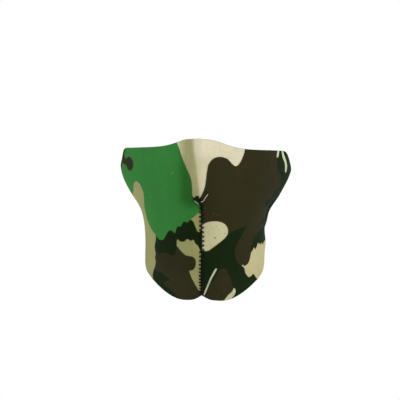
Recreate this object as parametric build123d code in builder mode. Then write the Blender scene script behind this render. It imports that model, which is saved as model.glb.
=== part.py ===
from build123d import *
import math
import os

import numpy as np

# Half-face neoprene mask, worn shape, millimetres. +Z up, the front faces -Y, +X is the wearer's left.
# Origin on the midplane, at the height and depth of the ear openings of the head it is worn on.

# laminate
JERSEY_T = 0.32  # printed knit face
CORE_T = 1.60  # foam
LINING_T = 0.32  # knit lining
BOND = 0.03  # bond line left open between two layers

# centre dart
DART_TOP_Z = -29.0  # the dart closes here, above it the blank is continuous
DART_WIDTH = 0.36  # butted edges
ZIGZAG_PITCH = 3.9
ZIGZAG_WIDTH = 4.6
THREAD_D = 0.50

# side flex lines and back closure
SIDE_FLEX = 114.0  # degrees from the front
TAB_FLEX = 159.0
STRAP_END = 197.0
FLEX_GAP = 0.40  # between the end faces either side of a flex line
LAP = 5.6  # how far the outer end stands off the inner one
LAP_FROM, LAP_TO = 134.0, 156.0
CORNER_R = 13.0

# hook and loop
TAPE_BASE_T = 0.55
HOOK_T = 0.70
HOOK_ROW_W = 1.1
HOOK_ROWS = 16
PILE_T = 0.95
HOOK_FROM, HOOK_TO = 165.0, 193.5
LOOP_FROM, LOOP_TO = 165.5, 207.0
TAPE_MARGIN = 5.0  # tape edge to strap edge
STITCH_LEN = 2.6
STITCH_PITCH = 3.4
STITCH_D = 0.40

# horizontal sections of the outer surface, half plan, (x, y) from the front centre to behind the ear
SECTIONS = {
    28: [(0, -96), (10, -92), (24, -85), (44, -71), (60, -48), (69, -24), (74.5, 0), (76, 16)],
    15: [(0, -101), (11, -95.5), (25, -88), (45, -73.5), (60.5, -50), (70, -25), (77.3, 0), (79.2, 14)],
    2: [(0, -106.5), (12, -99.5), (26, -91), (46, -75.5), (61.5, -52), (71.5, -27), (79.3, -2), (81.6, 12)],
    -10: [(0, -111.5), (12.5, -103), (26, -93.5), (46, -77.5), (61, -54), (70.5, -29), (77.0, -4), (78.7, 11)],
    -20: [(0, -115.8), (12.5, -106.5), (26, -96), (45, -79), (59, -56), (67, -31), (72.3, -5), (73.2, 10)],
    -28: [(0, -117.6), (12.5, -109), (26, -98), (44, -80.5), (56.5, -58), (63.5, -32), (67.2, -6), (67.8, 9)],
    -38: [(0, -116), (12.5, -110.5), (26, -99.5), (43, -81.5), (53.5, -59), (59, -33), (61, -7), (61.7, 9)],
    -50: [(0, -112.8), (12.5, -109), (26, -99.5), (42, -80.5), (51.3, -58), (55.8, -33), (57.4, -8), (57.6, 9)],
    -64: [(0, -110), (12.5, -107), (26, -97.5), (41, -78), (50, -56), (55, -32), (56.4, -8), (56, 9)],
    -78: [(0, -108), (12.5, -105), (26, -95.5), (40.5, -76), (50, -54), (55, -31), (56.3, -8), (55, 9)],
    -90: [(0, -104.3), (12.5, -101.5), (25.5, -92), (40, -73), (49.7, -51.5), (55, -30), (56, -8), (54, 9)],
    -100: [(0, -97.2), (12.3, -95), (25, -86.5), (39, -69), (49, -49), (54.6, -29), (55, -8), (53, 9)],
    -110: [(0, -87.5), (12, -86), (24.5, -79), (38, -64), (48.2, -46), (54, -28), (54.5, -8), (52, 9)],
    -122: [(0, -75), (11.8, -74.5), (24, -69.5), (37, -57.5), (47, -42.5), (53, -27), (54, -8), (51, 9)],
}
# behind the ear the outer surface is ruled: radius = a + k z at each angle
REAR = [(108, 86.3, 0.464), (114, 88.3, 0.463), (126, 90.5, 0.436), (140, 91.3, 0.375), (160, 91.5, 0.33), (180, 91.5, 0.31)]
# height of the upper and lower cut edges against the angle from the front
TOP = [(0, 22.9), (3, 22.7), (6, 22.1), (9.6, 20.7), (14.5, 18.2), (19.6, 16.2), (25, 15.1), (32, 14.7), (45, 14.9),
       (60, 15.4), (72, 15.7), (80, 15.2), (85, 13.2), (90, 9.4), (95, 4.8), (100, 0.6), (106, -2.6), (114, -5.2),
       (125, -6.8), (140, -7.6), (160, -8), (180, -8), (200, -8)]
BOTTOM_RIGHT = [(0, -116.6), (2.2, -118.4), (5, -120.2), (8.5, -120.9), (13, -120.9), (18.2, -119.5), (26, -114.6),
                (35.3, -107.5), (46.4, -99.5), (57.8, -91.5), (68, -84.0), (80, -75.5), (92, -67.5), (104, -61.5),
                (117, -58), (135, -57), (155, -57.5), (180, -58), (200, -58)]
BOTTOM_LEFT = [(0, -116.6), (2.2, -118.4), (5, -120.3), (8.5, -121.2), (13, -121.6), (18.2, -120.9), (26, -117.2),
               (35.3, -111.0), (46.4, -103.3), (57.8, -95.0), (68, -86.6), (80, -76.8), (92, -67.8), (104, -61.5),
               (117, -58), (135, -57), (155, -57.5), (180, -58), (200, -58)]

LEVELS = np.array(sorted(SECTIONS), float)
STEP = 3.0
ANGLES = np.arange(0, 181, STEP)
GRID_STEP = 4.0
GRID = np.arange(-126, 31, GRID_STEP)


def spline_curvature(x, y, clamp_start=False, clamp_end=False):
    """Second derivatives of the cubic spline through (x, y), natural or level at either end; y may have columns."""
    n = len(x)
    h = np.diff(x)
    a = np.zeros((n, n))
    b = np.zeros((n,) + y.shape[1:])
    for i in range(1, n - 1):
        a[i, i - 1], a[i, i], a[i, i + 1] = h[i - 1], 2 * (h[i - 1] + h[i]), h[i]
        b[i] = 6 * ((y[i + 1] - y[i]) / h[i] - (y[i] - y[i - 1]) / h[i - 1])
    a[0, 0] = a[-1, -1] = 1
    if clamp_start:
        a[0, 0], a[0, 1], b[0] = 2 * h[0], h[0], 6 * (y[1] - y[0]) / h[0]
    if clamp_end:
        a[-1, -1], a[-1, -2], b[-1] = 2 * h[-1], h[-1], -6 * (y[-1] - y[-2]) / h[-1]
    return np.linalg.solve(a, b)


def spline_at(x, y, q, clamp_start=False, clamp_end=False, m=None):
    """The cubic spline through (x, y) at q."""
    x, y = np.asarray(x, float), np.asarray(y, float)
    if m is None:
        m = spline_curvature(x, y, clamp_start, clamp_end)
    q = np.asarray(q, float)
    i = np.clip(np.searchsorted(x, q) - 1, 0, len(x) - 2)
    h = x[i + 1] - x[i]
    t0, t1 = x[i + 1] - q, q - x[i]
    if y.ndim > 1:
        h, t0, t1 = h[..., None], t0[..., None], t1[..., None]
    return (m[i] * t0**3 + m[i + 1] * t1**3) / (6 * h) + (y[i] / h - m[i] * h / 6) * t0 + (y[i + 1] / h - m[i + 1] * h / 6) * t1


def table():
    """Outer radius on an even grid of heights and angles, faired a little, and ruled behind the ear."""
    rows = []
    for z in LEVELS:
        pts = np.array(SECTIONS[int(z)], float)
        angle = np.array(list(np.degrees(np.arctan2(pts[:, 0], -pts[:, 1]))) + [v[0] for v in REAR])
        rad = np.array(list(np.hypot(pts[:, 0], pts[:, 1])) + [v[1] + v[2] * z for v in REAR])
        rows.append(spline_at(angle, rad, ANGLES, True, True))
    grid = spline_at(LEVELS, np.array(rows), GRID)
    for _ in range(4):
        grid[1:-1] = 0.25 * grid[:-2] + 0.5 * grid[1:-1] + 0.25 * grid[2:]
    for _ in range(2):
        fair = 0.25 * grid[:, :-2] + 0.5 * grid[:, 1:-1] + 0.25 * grid[:, 2:]
        keep = np.clip((ANGLES[1:-1] - 9) / 12, 0, 1)
        grid[:, 1:-1] += (fair - grid[:, 1:-1]) * keep
    low, high = np.searchsorted(GRID, -62), np.searchsorted(GRID, 2)
    for j in range(int(111 / STEP), len(ANGLES)):
        k, c = np.polyfit(GRID[low:high], grid[low:high, j], 1)
        grid[:, j] = c + k * GRID
    return grid


TABLE = table()
BEND = spline_curvature(GRID, TABLE)


def radius(angle, z):
    """Outer radius about the vertical axis at an unsigned angle from the front."""
    angle = abs(angle)
    if angle > 180:
        angle = 360 - angle
    k = min(int(angle / STEP), len(ANGLES) - 2)
    f = angle / STEP - k
    last = len(ANGLES) - 1
    cols = [abs(j) if j <= last else 2 * last - j for j in (k - 1, k, k + 1, k + 2)]
    p0, p1, p2, p3 = (float(v) for v in spline_at(GRID, TABLE[:, cols], z, m=BEND[:, cols]))
    return p1 + 0.5 * f * (p2 - p0 + f * (2 * p0 - 5 * p1 + 4 * p2 - p3 + f * (3 * (p1 - p2) + p3 - p0)))


def lap(angle):
    """Stand-off of the outer strap end, ramping up before it passes over the inner end."""
    s = min(1.0, max(0.0, (angle - LAP_FROM) / (LAP_TO - LAP_FROM)))
    return LAP * s * s * s * (10 - 15 * s + 6 * s * s)


def z_top(angle):
    t = np.array(TOP)
    return float(spline_at(t[:, 0], t[:, 1], abs(angle), True, True))


def z_bottom(angle):
    t = np.array(BOTTOM_LEFT if angle > 0 else BOTTOM_RIGHT)
    return float(spline_at(t[:, 0], t[:, 1], abs(angle), False, True))


def radial_plane(angle):
    """Vertical plane through the axis, local x outward, local y up."""
    a = math.radians(angle)
    return Plane(origin=(0, 0, 0), x_dir=(math.sin(a), -math.cos(a), 0), z_dir=(-math.cos(a), -math.sin(a), 0))


def offset_point(angle, z, depth, lapped):
    """(r, z) in the radial plane, depth below the outer surface along the in-plane normal."""
    rise = lap(angle) if lapped else 0.0
    r = radius(angle, z) + rise
    slope = (radius(angle, z + 0.5) - radius(angle, z - 0.5))
    turn = (radius(angle + 0.5, z) - radius(angle - 0.5, z)) / math.radians(1.0) / r
    if lapped:
        turn += (lap(angle + 0.5) - lap(angle - 0.5)) / math.radians(1.0) / r
    d = depth * math.sqrt(1 + slope * slope + turn * turn) / (1 + slope * slope)
    return r - d, z + d * slope


def band(angles, shallow, deep, low, high, lapped=False, count=13):
    """Section outlines of one layer: at each angle, outer and inner curves between the cut edges."""
    out = []
    for angle in angles:
        lo, hi = low(angle), high(angle)
        zs = [lo + (hi - lo) * i / (count - 1) for i in range(count)]
        outer = [offset_point(angle, z, shallow, lapped) for z in zs]
        inner = [offset_point(angle, z, deep, lapped) for z in zs]
        out.append((angle, outer, inner))
    return out


def even_spline(points):
    """Curve through the points with even parameters, the same on every section, so that neighbouring sections match."""
    return Edge.make_spline([Vector(x, y) for x, y in points], parameters=[i / (len(points) - 1) for i in range(len(points))])


def gap_angle(angle, side, lapped=False):
    """Angle of an end face half the flex gap to one side of a flex line."""
    mid = radius(angle, -33) + (lap(angle) if lapped else 0)
    return angle + side * math.degrees(0.5 * FLEX_GAP / (mid - 8))


def surface_frame(angle, z, lapped=False, depth=0.0):
    """Origin on the surface, with outward normal, level tangent and upward tangent."""
    def at(a, h):
        r = radius(a, h) + (lap(a) if lapped else 0)
        t = math.radians(a)
        return np.array([r * math.sin(t), -r * math.cos(t), h])
    p = at(angle, z)
    u = at(angle + 0.3, z) - at(angle - 0.3, z)
    v = at(angle, z + 0.3) - at(angle, z - 0.3)
    u, v = u / np.linalg.norm(u), v / np.linalg.norm(v)
    n = np.cross(u, v)
    n /= np.linalg.norm(n)
    return p - n * depth, n, u, v


FRONT_ANGLES = [3, 6.5, 11, 17, 24, 32, 41, 51, 61, 71, 81, 90, 98, 106]
FRONT_SPAN = [-gap_angle(SIDE_FLEX, -1)] + [-a for a in reversed(FRONT_ANGLES)] + [0] + FRONT_ANGLES + [gap_angle(SIDE_FLEX, -1)]
LEFT_WING_SPAN = [gap_angle(SIDE_FLEX, 1), 118, 122, 127, 132, 136, 140, 144, 148, 152, 156, gap_angle(TAB_FLEX, -1, True)]
LEFT_TAB_SPAN = [gap_angle(TAB_FLEX, 1, True), 164, 169, 175, 180, 185, 191, STRAP_END]
RIGHT_WING_SPAN = [-gap_angle(SIDE_FLEX, 1), -118, -123, -129, -136, -144, -152, -160, -168, -174, -180, -186, -192, -STRAP_END]

FACE = (0.0, JERSEY_T)
CORE = (JERSEY_T + BOND, JERSEY_T + BOND + CORE_T)
LINING = (CORE[1] + BOND, CORE[1] + BOND + LINING_T)
TOTAL_T = LINING[1]

os.makedirs("parts", exist_ok=True)


def corner_plane(side, lapped):
    """Plane tangent to the strap end, local x toward the end, local y up."""
    p, n, u, v = surface_frame(side * STRAP_END, -33, lapped)
    x = u * side
    x[2] = 0
    x /= np.linalg.norm(x)
    n = n.copy()
    n[2] = 0
    n /= np.linalg.norm(n)
    y = np.cross(n, x)
    sign = 1 if y[2] > 0 else -1
    return Plane(origin=tuple(p), x_dir=tuple(x), z_dir=tuple(n * sign)), sign


# ---------------------------------------------------------------- front: three bonded layers, one dart
for label, (shallow, deep) in (("front_face_jersey", FACE), ("front_foam_core", CORE), ("front_lining", LINING)):
    with BuildPart() as front:
        for angle, outer, inner in band(FRONT_SPAN, shallow, deep, z_bottom, z_top, count=13):
            with BuildSketch(radial_plane(angle)):
                with BuildLine():
                    add(even_spline(outer))
                    Line(outer[-1], inner[-1])
                    add(even_spline(inner[::-1]))
                    Line(inner[0], outer[0])
                make_face()
        loft()
        # the dart: a slit at the midplane, open at the bottom edge
        with Locations((0, -100, DART_TOP_Z - 60)):
            Box(DART_WIDTH, 80, 120, mode=Mode.SUBTRACT)
    front.part.label = label
    export_step(front.part, f"parts/{label}.step")
    print(label, front.part.volume, len(front.part.solids()))

# ---------------------------------------------------------------- side wings and the peeling tab
for name, span, lapped, ends in (
    ("left_wing", LEFT_WING_SPAN, True, None),
    ("left_tab", LEFT_TAB_SPAN, True, 1),
    ("right_wing", RIGHT_WING_SPAN, False, -1),
):
    for suffix, (shallow, deep) in (("face_jersey", FACE), ("foam_core", CORE), ("lining", LINING)):
        label = f"{name}_{suffix}"
        with BuildPart() as wing:
            for angle, outer, inner in band(span, shallow, deep, z_bottom, z_top, lapped=lapped, count=7):
                with BuildSketch(radial_plane(angle)):
                    with BuildLine():
                        add(even_spline(outer))
                        Line(outer[-1], inner[-1])
                        add(even_spline(inner[::-1]))
                        Line(inner[0], outer[0])
                    make_face()
            loft()
            if ends:
                # rounded corners at the free end of the strap
                plane, sign = corner_plane(ends, lapped)
                for up in (1, -1):
                    level = (z_top(STRAP_END) if up > 0 else z_bottom(STRAP_END)) + 33
                    edge = up * sign
                    with BuildSketch(plane):
                        with BuildLine():
                            a = (-CORNER_R, abs(level) * edge)
                            b = (0.0, (abs(level) - CORNER_R) * edge)
                            m = (-CORNER_R + CORNER_R * math.sin(math.radians(45)),
                                 (abs(level) - CORNER_R + CORNER_R * math.cos(math.radians(45))) * edge)
                            ThreePointArc(a, m, b)
                            Line(b, (3.0, (abs(level) - CORNER_R) * edge))
                            Line((3.0, (abs(level) - CORNER_R) * edge), (3.0, (abs(level) + 4) * edge))
                            Line((3.0, (abs(level) + 4) * edge), (-CORNER_R, (abs(level) + 4) * edge))
                            Line((-CORNER_R, (abs(level) + 4) * edge), a)
                        make_face()
                    extrude(amount=14, both=True, mode=Mode.SUBTRACT)
        wing.part.label = label
        export_step(wing.part, f"parts/{label}.step")
        print(label, wing.part.volume, len(wing.part.solids()))

# ---------------------------------------------------------------- hook and loop tapes
def tape_low(angle):
    return z_bottom(180) + TAPE_MARGIN


def tape_high(angle):
    return z_top(180) - TAPE_MARGIN


HOOK_SPAN = [HOOK_FROM, 169, 173.5, 178, 183, 188, HOOK_TO]
LOOP_SPAN = [-(360 - a) for a in (LOOP_FROM, 169, 173.5, 178, 183, 188, 194, 200, LOOP_TO)]
hook_base = (TOTAL_T + BOND, TOTAL_T + BOND + TAPE_BASE_T)
hook_rows = (hook_base[1] + BOND, hook_base[1] + BOND + HOOK_T)
loop_base = (-3 * BOND - TAPE_BASE_T, -3 * BOND)
loop_pile = (loop_base[0] - BOND - PILE_T, loop_base[0] - BOND)

with BuildPart() as hook_tape:
    for angle, outer, inner in band(HOOK_SPAN, *hook_base, tape_low, tape_high, lapped=True, count=6):
        with BuildSketch(radial_plane(angle)):
            with BuildLine():
                add(even_spline(outer))
                Line(outer[-1], inner[-1])
                add(even_spline(inner[::-1]))
                Line(inner[0], outer[0])
            make_face()
    loft()
hook_tape.part.label = "hook_tape_base"
export_step(hook_tape.part, "parts/hook_tape_base.step")

# the moulded hooks stand in level rows along the strap
row_pitch = (tape_high(0) - tape_low(0) - 4.0) / (HOOK_ROWS - 1)
with BuildPart() as hook_field:
    for row in range(HOOK_ROWS):
        z0 = tape_low(0) + 2.0 + row * row_pitch - HOOK_ROW_W / 2
        for angle, outer, inner in band([HOOK_FROM + 1.2, 172, 179.5, 187, HOOK_TO - 1.2], *hook_rows,
                                        lambda a: z0, lambda a: z0 + HOOK_ROW_W, lapped=True, count=2):
            with BuildSketch(radial_plane(angle)):
                with BuildLine():
                    Line(outer[0], outer[-1])
                    Line(outer[-1], inner[-1])
                    Line(inner[-1], inner[0])
                    Line(inner[0], outer[0])
                make_face()
        loft()
hook_field.part.label = "hook_rows"
export_step(hook_field.part, "parts/hook_rows.step")

with BuildPart() as loop_tape:
    for angle, outer, inner in band(LOOP_SPAN, *loop_base, tape_low, tape_high, count=6):
        with BuildSketch(radial_plane(angle)):
            with BuildLine():
                add(even_spline(outer))
                Line(outer[-1], inner[-1])
                add(even_spline(inner[::-1]))
                Line(inner[0], outer[0])
            make_face()
    loft()
loop_tape.part.label = "loop_tape_base"
export_step(loop_tape.part, "parts/loop_tape_base.step")

with BuildPart() as loop_nap:
    span = [LOOP_SPAN[0] - 0.9] + LOOP_SPAN[1:-1] + [LOOP_SPAN[-1] + 0.9]
    for angle, outer, inner in band(span, *loop_pile, lambda a: tape_low(a) + 1.5, lambda a: tape_high(a) - 1.5, count=6):
        with BuildSketch(radial_plane(angle)):
            with BuildLine():
                add(even_spline(outer))
                Line(outer[-1], inner[-1])
                add(even_spline(inner[::-1]))
                Line(inner[0], outer[0])
            make_face()
    loft()
loop_nap.part.label = "loop_pile"
export_step(loop_nap.part, "parts/loop_pile.step")


def along(p, q, plane_up, diameter):
    """Placement for a stitch: cylinder axis from p to q."""
    d = q - p
    length = float(np.linalg.norm(d))
    mid = (p + q) / 2
    return Plane(origin=tuple(mid), x_dir=tuple(plane_up), z_dir=tuple(d / length)), length


# ---------------------------------------------------------------- stitching round each tape, showing on the far face of the strap
def perimeter(angle_from, angle_to, inset, lapped, depth):
    """Stitch end points on a rectangle a little inside the tape edge."""
    lo, hi = tape_low(0) + inset, tape_high(0) - inset
    arc = math.radians(1.0) * (radius(180, -33) + (LAP if lapped else 0))
    a0, a1 = angle_from + inset / arc, angle_to - inset / arc
    corners = [(a0, lo), (a1, lo), (a1, hi), (a0, hi), (a0, lo)]
    out = []
    for (aa, za), (ab, zb) in zip(corners, corners[1:]):
        run = abs(ab - aa) * arc + abs(zb - za)
        n = max(1, int(round((run - 1.2) / STITCH_PITCH)))
        for i in range(n):
            s0 = (0.6 + (run - 1.2) * (i + 0.5) / n - STITCH_LEN / 2) / run
            s1 = (0.6 + (run - 1.2) * (i + 0.5) / n + STITCH_LEN / 2) / run
            ends = []
            for s in (s0, s1):
                p, nrm, u, v = surface_frame(aa + (ab - aa) * s, za + (zb - za) * s, lapped, depth)
                ends.append(p)
            out.append((ends[0], ends[1], nrm))
    return out


for label, a0, a1, lapped, depth, flip in (
    ("hook_tape_stitching", HOOK_FROM, HOOK_TO, True, -(STITCH_D / 2 + 0.06), 1),
    ("loop_tape_stitching", -(360 - LOOP_FROM), -(360 - LOOP_TO), False, TOTAL_T + STITCH_D / 2 + 0.06, 1),
):
    with BuildPart() as stitches:
        for p, q, nrm in perimeter(min(a0, a1), max(a0, a1), 1.6 if lapped else 1.0, lapped, depth):
            plane, length = along(p, q, nrm, STITCH_D)
            with Locations(plane):
                Cylinder(STITCH_D / 2, length)
    stitches.part.label = label
    export_step(stitches.part, f"parts/{label}.step")
    print(label, len(stitches.part.solids()))

# ---------------------------------------------------------------- the centre seam
SEAM_Z = np.linspace(DART_TOP_Z - 1.0, z_bottom(0) + 1.5, 400)


def seam_curve(depth):
    pts = []
    for z in SEAM_Z:
        p, n, u, v = surface_frame(0.0, float(z), False, depth)
        pts.append(p)
    pts = np.array(pts)
    arc = np.concatenate([[0], np.cumsum(np.linalg.norm(np.diff(pts, axis=0), axis=1))])
    return pts, arc


for label, depth in (("centre_seam_zigzag", -(THREAD_D / 2 + 0.05)), ("centre_seam_inner_zigzag", TOTAL_T + THREAD_D / 2 + 0.40)):
    pts, arc = seam_curve(depth)
    cycles = int(arc[-1] / ZIGZAG_PITCH)
    start = (arc[-1] - cycles * ZIGZAG_PITCH) / 2
    with BuildPart() as zigzag:
        for i in range(cycles):
            knots = []
            for s, x in ((0.0, -1), (0.52, 1), (1.0, -1)):
                at = start + (i + s) * ZIGZAG_PITCH
                p = np.array([np.interp(at, arc, pts[:, k]) for k in range(3)])
                knots.append(p + np.array([x * ZIGZAG_WIDTH / 2, 0, 0]))
            for a, b in zip(knots, knots[1:]):
                d = (b - a) / np.linalg.norm(b - a)
                plane, length = along(a + d * 0.42, b - d * 0.42, np.cross(d, (0, 1, 0)), THREAD_D)
                with Locations(plane):
                    Cylinder(THREAD_D / 2, length)
    zigzag.part.label = label
    export_step(zigzag.part, f"parts/{label}.step")
    print(label, len(zigzag.part.solids()), arc[-1])

# bar tack at the top of the dart: a wedge of close satin stitches, widest at the dart
with BuildPart() as tack:
    p, n, u, v = surface_frame(0.0, DART_TOP_Z + 2.6, False, 0)
    for i in range(8):
        y_off = 0.0
        z = DART_TOP_Z + 3.4 - i * 0.62
        reach = 5.6 - 4.4 * abs(i - 2.0) / 6.0
        pc, n, u, v = surface_frame(0.0, z, False, -(THREAD_D / 2 + 0.42))
        a = pc + u * 0.7
        b = pc - u * reach + n * (-0.055 * reach * reach)
        plane, length = along(a, b, v, THREAD_D)
        with Locations(plane):
            Cylinder(THREAD_D / 2, length)
tack.part.label = "seam_top_bar_tack"
export_step(tack.part, "parts/seam_top_bar_tack.step")

# bar tack in the notch at the bottom end of the dart
with BuildPart() as tack:
    pts, arc = seam_curve(-(THREAD_D / 2 + 0.75))
    for i in range(5):
        at = arc[-1] - 0.2 - i * 0.62
        p = np.array([np.interp(at, arc, pts[:, k]) for k in range(3)])
        plane, length = along(p + np.array([-1.6, 0, 0]), p + np.array([1.6, 0, 0]), (0, 0, 1), THREAD_D)
        with Locations(plane):
            Cylinder(THREAD_D / 2, length)
tack.part.label = "seam_bottom_bar_tack"
export_step(tack.part, "parts/seam_bottom_bar_tack.step")

# loose ends of the seam thread left at the top of the dart
with BuildPart() as tails:
    for route in (
        [(3.2, -2.4), (4.4, -1.2), (6.2, 1.0), (8.2, 3.8)],
        [(3.4, -5.0), (4.6, -5.9), (6.4, -5.7), (8.0, -4.4)],
    ):
        line = []
        for k, (x, dz) in enumerate(route):
            z = DART_TOP_Z + dz + 1.5
            r = radius(0, z)
            angle = math.degrees(x / r)
            p, n, u, v = surface_frame(angle, z, False, -(THREAD_D / 2 + 0.45))
            line.append(tuple(p))
        with BuildLine() as path:
            Spline(*line)
        with BuildSketch(Plane(origin=path.wire() @ 0, z_dir=path.wire() % 0)):
            Circle(THREAD_D / 2)
        sweep(path=path.wire())
tails.part.label = "seam_thread_tails"
export_step(tails.part, "parts/seam_thread_tails.step")
print("tails", len(tails.part.solids()))
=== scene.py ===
import math

import bpy
import numpy as np
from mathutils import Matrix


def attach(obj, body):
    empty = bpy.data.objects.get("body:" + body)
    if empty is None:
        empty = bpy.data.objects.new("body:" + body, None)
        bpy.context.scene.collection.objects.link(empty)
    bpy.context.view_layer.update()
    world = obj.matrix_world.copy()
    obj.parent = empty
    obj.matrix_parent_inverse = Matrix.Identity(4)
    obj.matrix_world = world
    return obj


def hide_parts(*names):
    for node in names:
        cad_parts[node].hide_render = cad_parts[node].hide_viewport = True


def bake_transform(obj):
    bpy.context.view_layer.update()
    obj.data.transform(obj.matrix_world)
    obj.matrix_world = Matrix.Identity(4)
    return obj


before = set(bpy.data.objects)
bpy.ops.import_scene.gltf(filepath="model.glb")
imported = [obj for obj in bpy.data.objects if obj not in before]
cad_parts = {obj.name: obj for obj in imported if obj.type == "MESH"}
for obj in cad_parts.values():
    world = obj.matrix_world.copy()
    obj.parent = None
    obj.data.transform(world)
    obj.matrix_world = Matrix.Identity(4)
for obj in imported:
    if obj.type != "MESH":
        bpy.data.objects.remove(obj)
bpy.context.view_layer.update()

MM = 0.001

# ------------------------------------------------------------------ worn surface, millimetres
SECTIONS = {
    28: [(0, -96), (10, -92), (24, -85), (44, -71), (60, -48), (69, -24), (74.5, 0), (76, 16)],
    15: [(0, -101), (11, -95.5), (25, -88), (45, -73.5), (60.5, -50), (70, -25), (77.3, 0), (79.2, 14)],
    2: [(0, -106.5), (12, -99.5), (26, -91), (46, -75.5), (61.5, -52), (71.5, -27), (79.3, -2), (81.6, 12)],
    -10: [(0, -111.5), (12.5, -103), (26, -93.5), (46, -77.5), (61, -54), (70.5, -29), (77.0, -4), (78.7, 11)],
    -20: [(0, -115.8), (12.5, -106.5), (26, -96), (45, -79), (59, -56), (67, -31), (72.3, -5), (73.2, 10)],
    -28: [(0, -117.6), (12.5, -109), (26, -98), (44, -80.5), (56.5, -58), (63.5, -32), (67.2, -6), (67.8, 9)],
    -38: [(0, -116), (12.5, -110.5), (26, -99.5), (43, -81.5), (53.5, -59), (59, -33), (61, -7), (61.7, 9)],
    -50: [(0, -112.8), (12.5, -109), (26, -99.5), (42, -80.5), (51.3, -58), (55.8, -33), (57.4, -8), (57.6, 9)],
    -64: [(0, -110), (12.5, -107), (26, -97.5), (41, -78), (50, -56), (55, -32), (56.4, -8), (56, 9)],
    -78: [(0, -108), (12.5, -105), (26, -95.5), (40.5, -76), (50, -54), (55, -31), (56.3, -8), (55, 9)],
    -90: [(0, -104.3), (12.5, -101.5), (25.5, -92), (40, -73), (49.7, -51.5), (55, -30), (56, -8), (54, 9)],
    -100: [(0, -97.2), (12.3, -95), (25, -86.5), (39, -69), (49, -49), (54.6, -29), (55, -8), (53, 9)],
    -110: [(0, -87.5), (12, -86), (24.5, -79), (38, -64), (48.2, -46), (54, -28), (54.5, -8), (52, 9)],
    -122: [(0, -75), (11.8, -74.5), (24, -69.5), (37, -57.5), (47, -42.5), (53, -27), (54, -8), (51, 9)],
}
# behind the ear the outer surface is ruled: radius = a + k z at each angle
REAR = [(108, 86.3, 0.464), (114, 88.3, 0.463), (126, 90.5, 0.436), (140, 91.3, 0.375), (160, 91.5, 0.33), (180, 91.5, 0.31)]
# height of the upper and lower cut edges against the angle from the front
TOP = [(0, 22.9), (3, 22.7), (6, 22.1), (9.6, 20.7), (14.5, 18.2), (19.6, 16.2), (25, 15.1), (32, 14.7), (45, 14.9),
       (60, 15.4), (72, 15.7), (80, 15.2), (85, 13.2), (90, 9.4), (95, 4.8), (100, 0.6), (106, -2.6), (114, -5.2),
       (125, -6.8), (140, -7.6), (160, -8), (180, -8), (200, -8)]
BOTTOM_RIGHT = [(0, -116.6), (2.2, -118.4), (5, -120.2), (8.5, -120.9), (13, -120.9), (18.2, -119.5), (26, -114.6),
                (35.3, -107.5), (46.4, -99.5), (57.8, -91.5), (68, -84.0), (80, -75.5), (92, -67.5), (104, -61.5),
                (117, -58), (135, -57), (155, -57.5), (180, -58), (200, -58)]
BOTTOM_LEFT = [(0, -116.6), (2.2, -118.4), (5, -120.3), (8.5, -121.2), (13, -121.6), (18.2, -120.9), (26, -117.2),
               (35.3, -111.0), (46.4, -103.3), (57.8, -95.0), (68, -86.6), (80, -76.8), (92, -67.8), (104, -61.5),
               (117, -58), (135, -57), (155, -57.5), (180, -58), (200, -58)]

LEVELS = np.array(sorted(SECTIONS), float)
STEP = 3.0
ANGLES = np.arange(0, 181, STEP)
GRID_STEP = 4.0
GRID = np.arange(-126, 31, GRID_STEP)


def spline_curvature(x, y, clamp_start=False, clamp_end=False):
    """Second derivatives of the cubic spline through (x, y), natural or level at either end; y may have columns."""
    n = len(x)
    h = np.diff(x)
    a = np.zeros((n, n))
    b = np.zeros((n,) + y.shape[1:])
    for i in range(1, n - 1):
        a[i, i - 1], a[i, i], a[i, i + 1] = h[i - 1], 2 * (h[i - 1] + h[i]), h[i]
        b[i] = 6 * ((y[i + 1] - y[i]) / h[i] - (y[i] - y[i - 1]) / h[i - 1])
    a[0, 0] = a[-1, -1] = 1
    if clamp_start:
        a[0, 0], a[0, 1], b[0] = 2 * h[0], h[0], 6 * (y[1] - y[0]) / h[0]
    if clamp_end:
        a[-1, -1], a[-1, -2], b[-1] = 2 * h[-1], h[-1], -6 * (y[-1] - y[-2]) / h[-1]
    return np.linalg.solve(a, b)


def spline_at(x, y, q, clamp_start=False, clamp_end=False, m=None):
    """The cubic spline through (x, y) at q."""
    x, y = np.asarray(x, float), np.asarray(y, float)
    if m is None:
        m = spline_curvature(x, y, clamp_start, clamp_end)
    q = np.asarray(q, float)
    i = np.clip(np.searchsorted(x, q) - 1, 0, len(x) - 2)
    h = x[i + 1] - x[i]
    t0, t1 = x[i + 1] - q, q - x[i]
    if y.ndim > 1:
        h, t0, t1 = h[..., None], t0[..., None], t1[..., None]
    return (m[i] * t0**3 + m[i + 1] * t1**3) / (6 * h) + (y[i] / h - m[i] * h / 6) * t0 + (y[i + 1] / h - m[i + 1] * h / 6) * t1


def table():
    """Outer radius on an even grid of heights and angles, faired a little, and ruled behind the ear."""
    rows = []
    for z in LEVELS:
        pts = np.array(SECTIONS[int(z)], float)
        angle = np.array(list(np.degrees(np.arctan2(pts[:, 0], -pts[:, 1]))) + [v[0] for v in REAR])
        rad = np.array(list(np.hypot(pts[:, 0], pts[:, 1])) + [v[1] + v[2] * z for v in REAR])
        rows.append(spline_at(angle, rad, ANGLES, True, True))
    grid = spline_at(LEVELS, np.array(rows), GRID)
    for _ in range(4):
        grid[1:-1] = 0.25 * grid[:-2] + 0.5 * grid[1:-1] + 0.25 * grid[2:]
    for _ in range(2):
        fair = 0.25 * grid[:, :-2] + 0.5 * grid[:, 1:-1] + 0.25 * grid[:, 2:]
        keep = np.clip((ANGLES[1:-1] - 9) / 12, 0, 1)
        grid[:, 1:-1] += (fair - grid[:, 1:-1]) * keep
    low, high = np.searchsorted(GRID, -62), np.searchsorted(GRID, 2)
    for j in range(int(111 / STEP), len(ANGLES)):
        k, c = np.polyfit(GRID[low:high], grid[low:high, j], 1)
        grid[:, j] = c + k * GRID
    return grid


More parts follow.
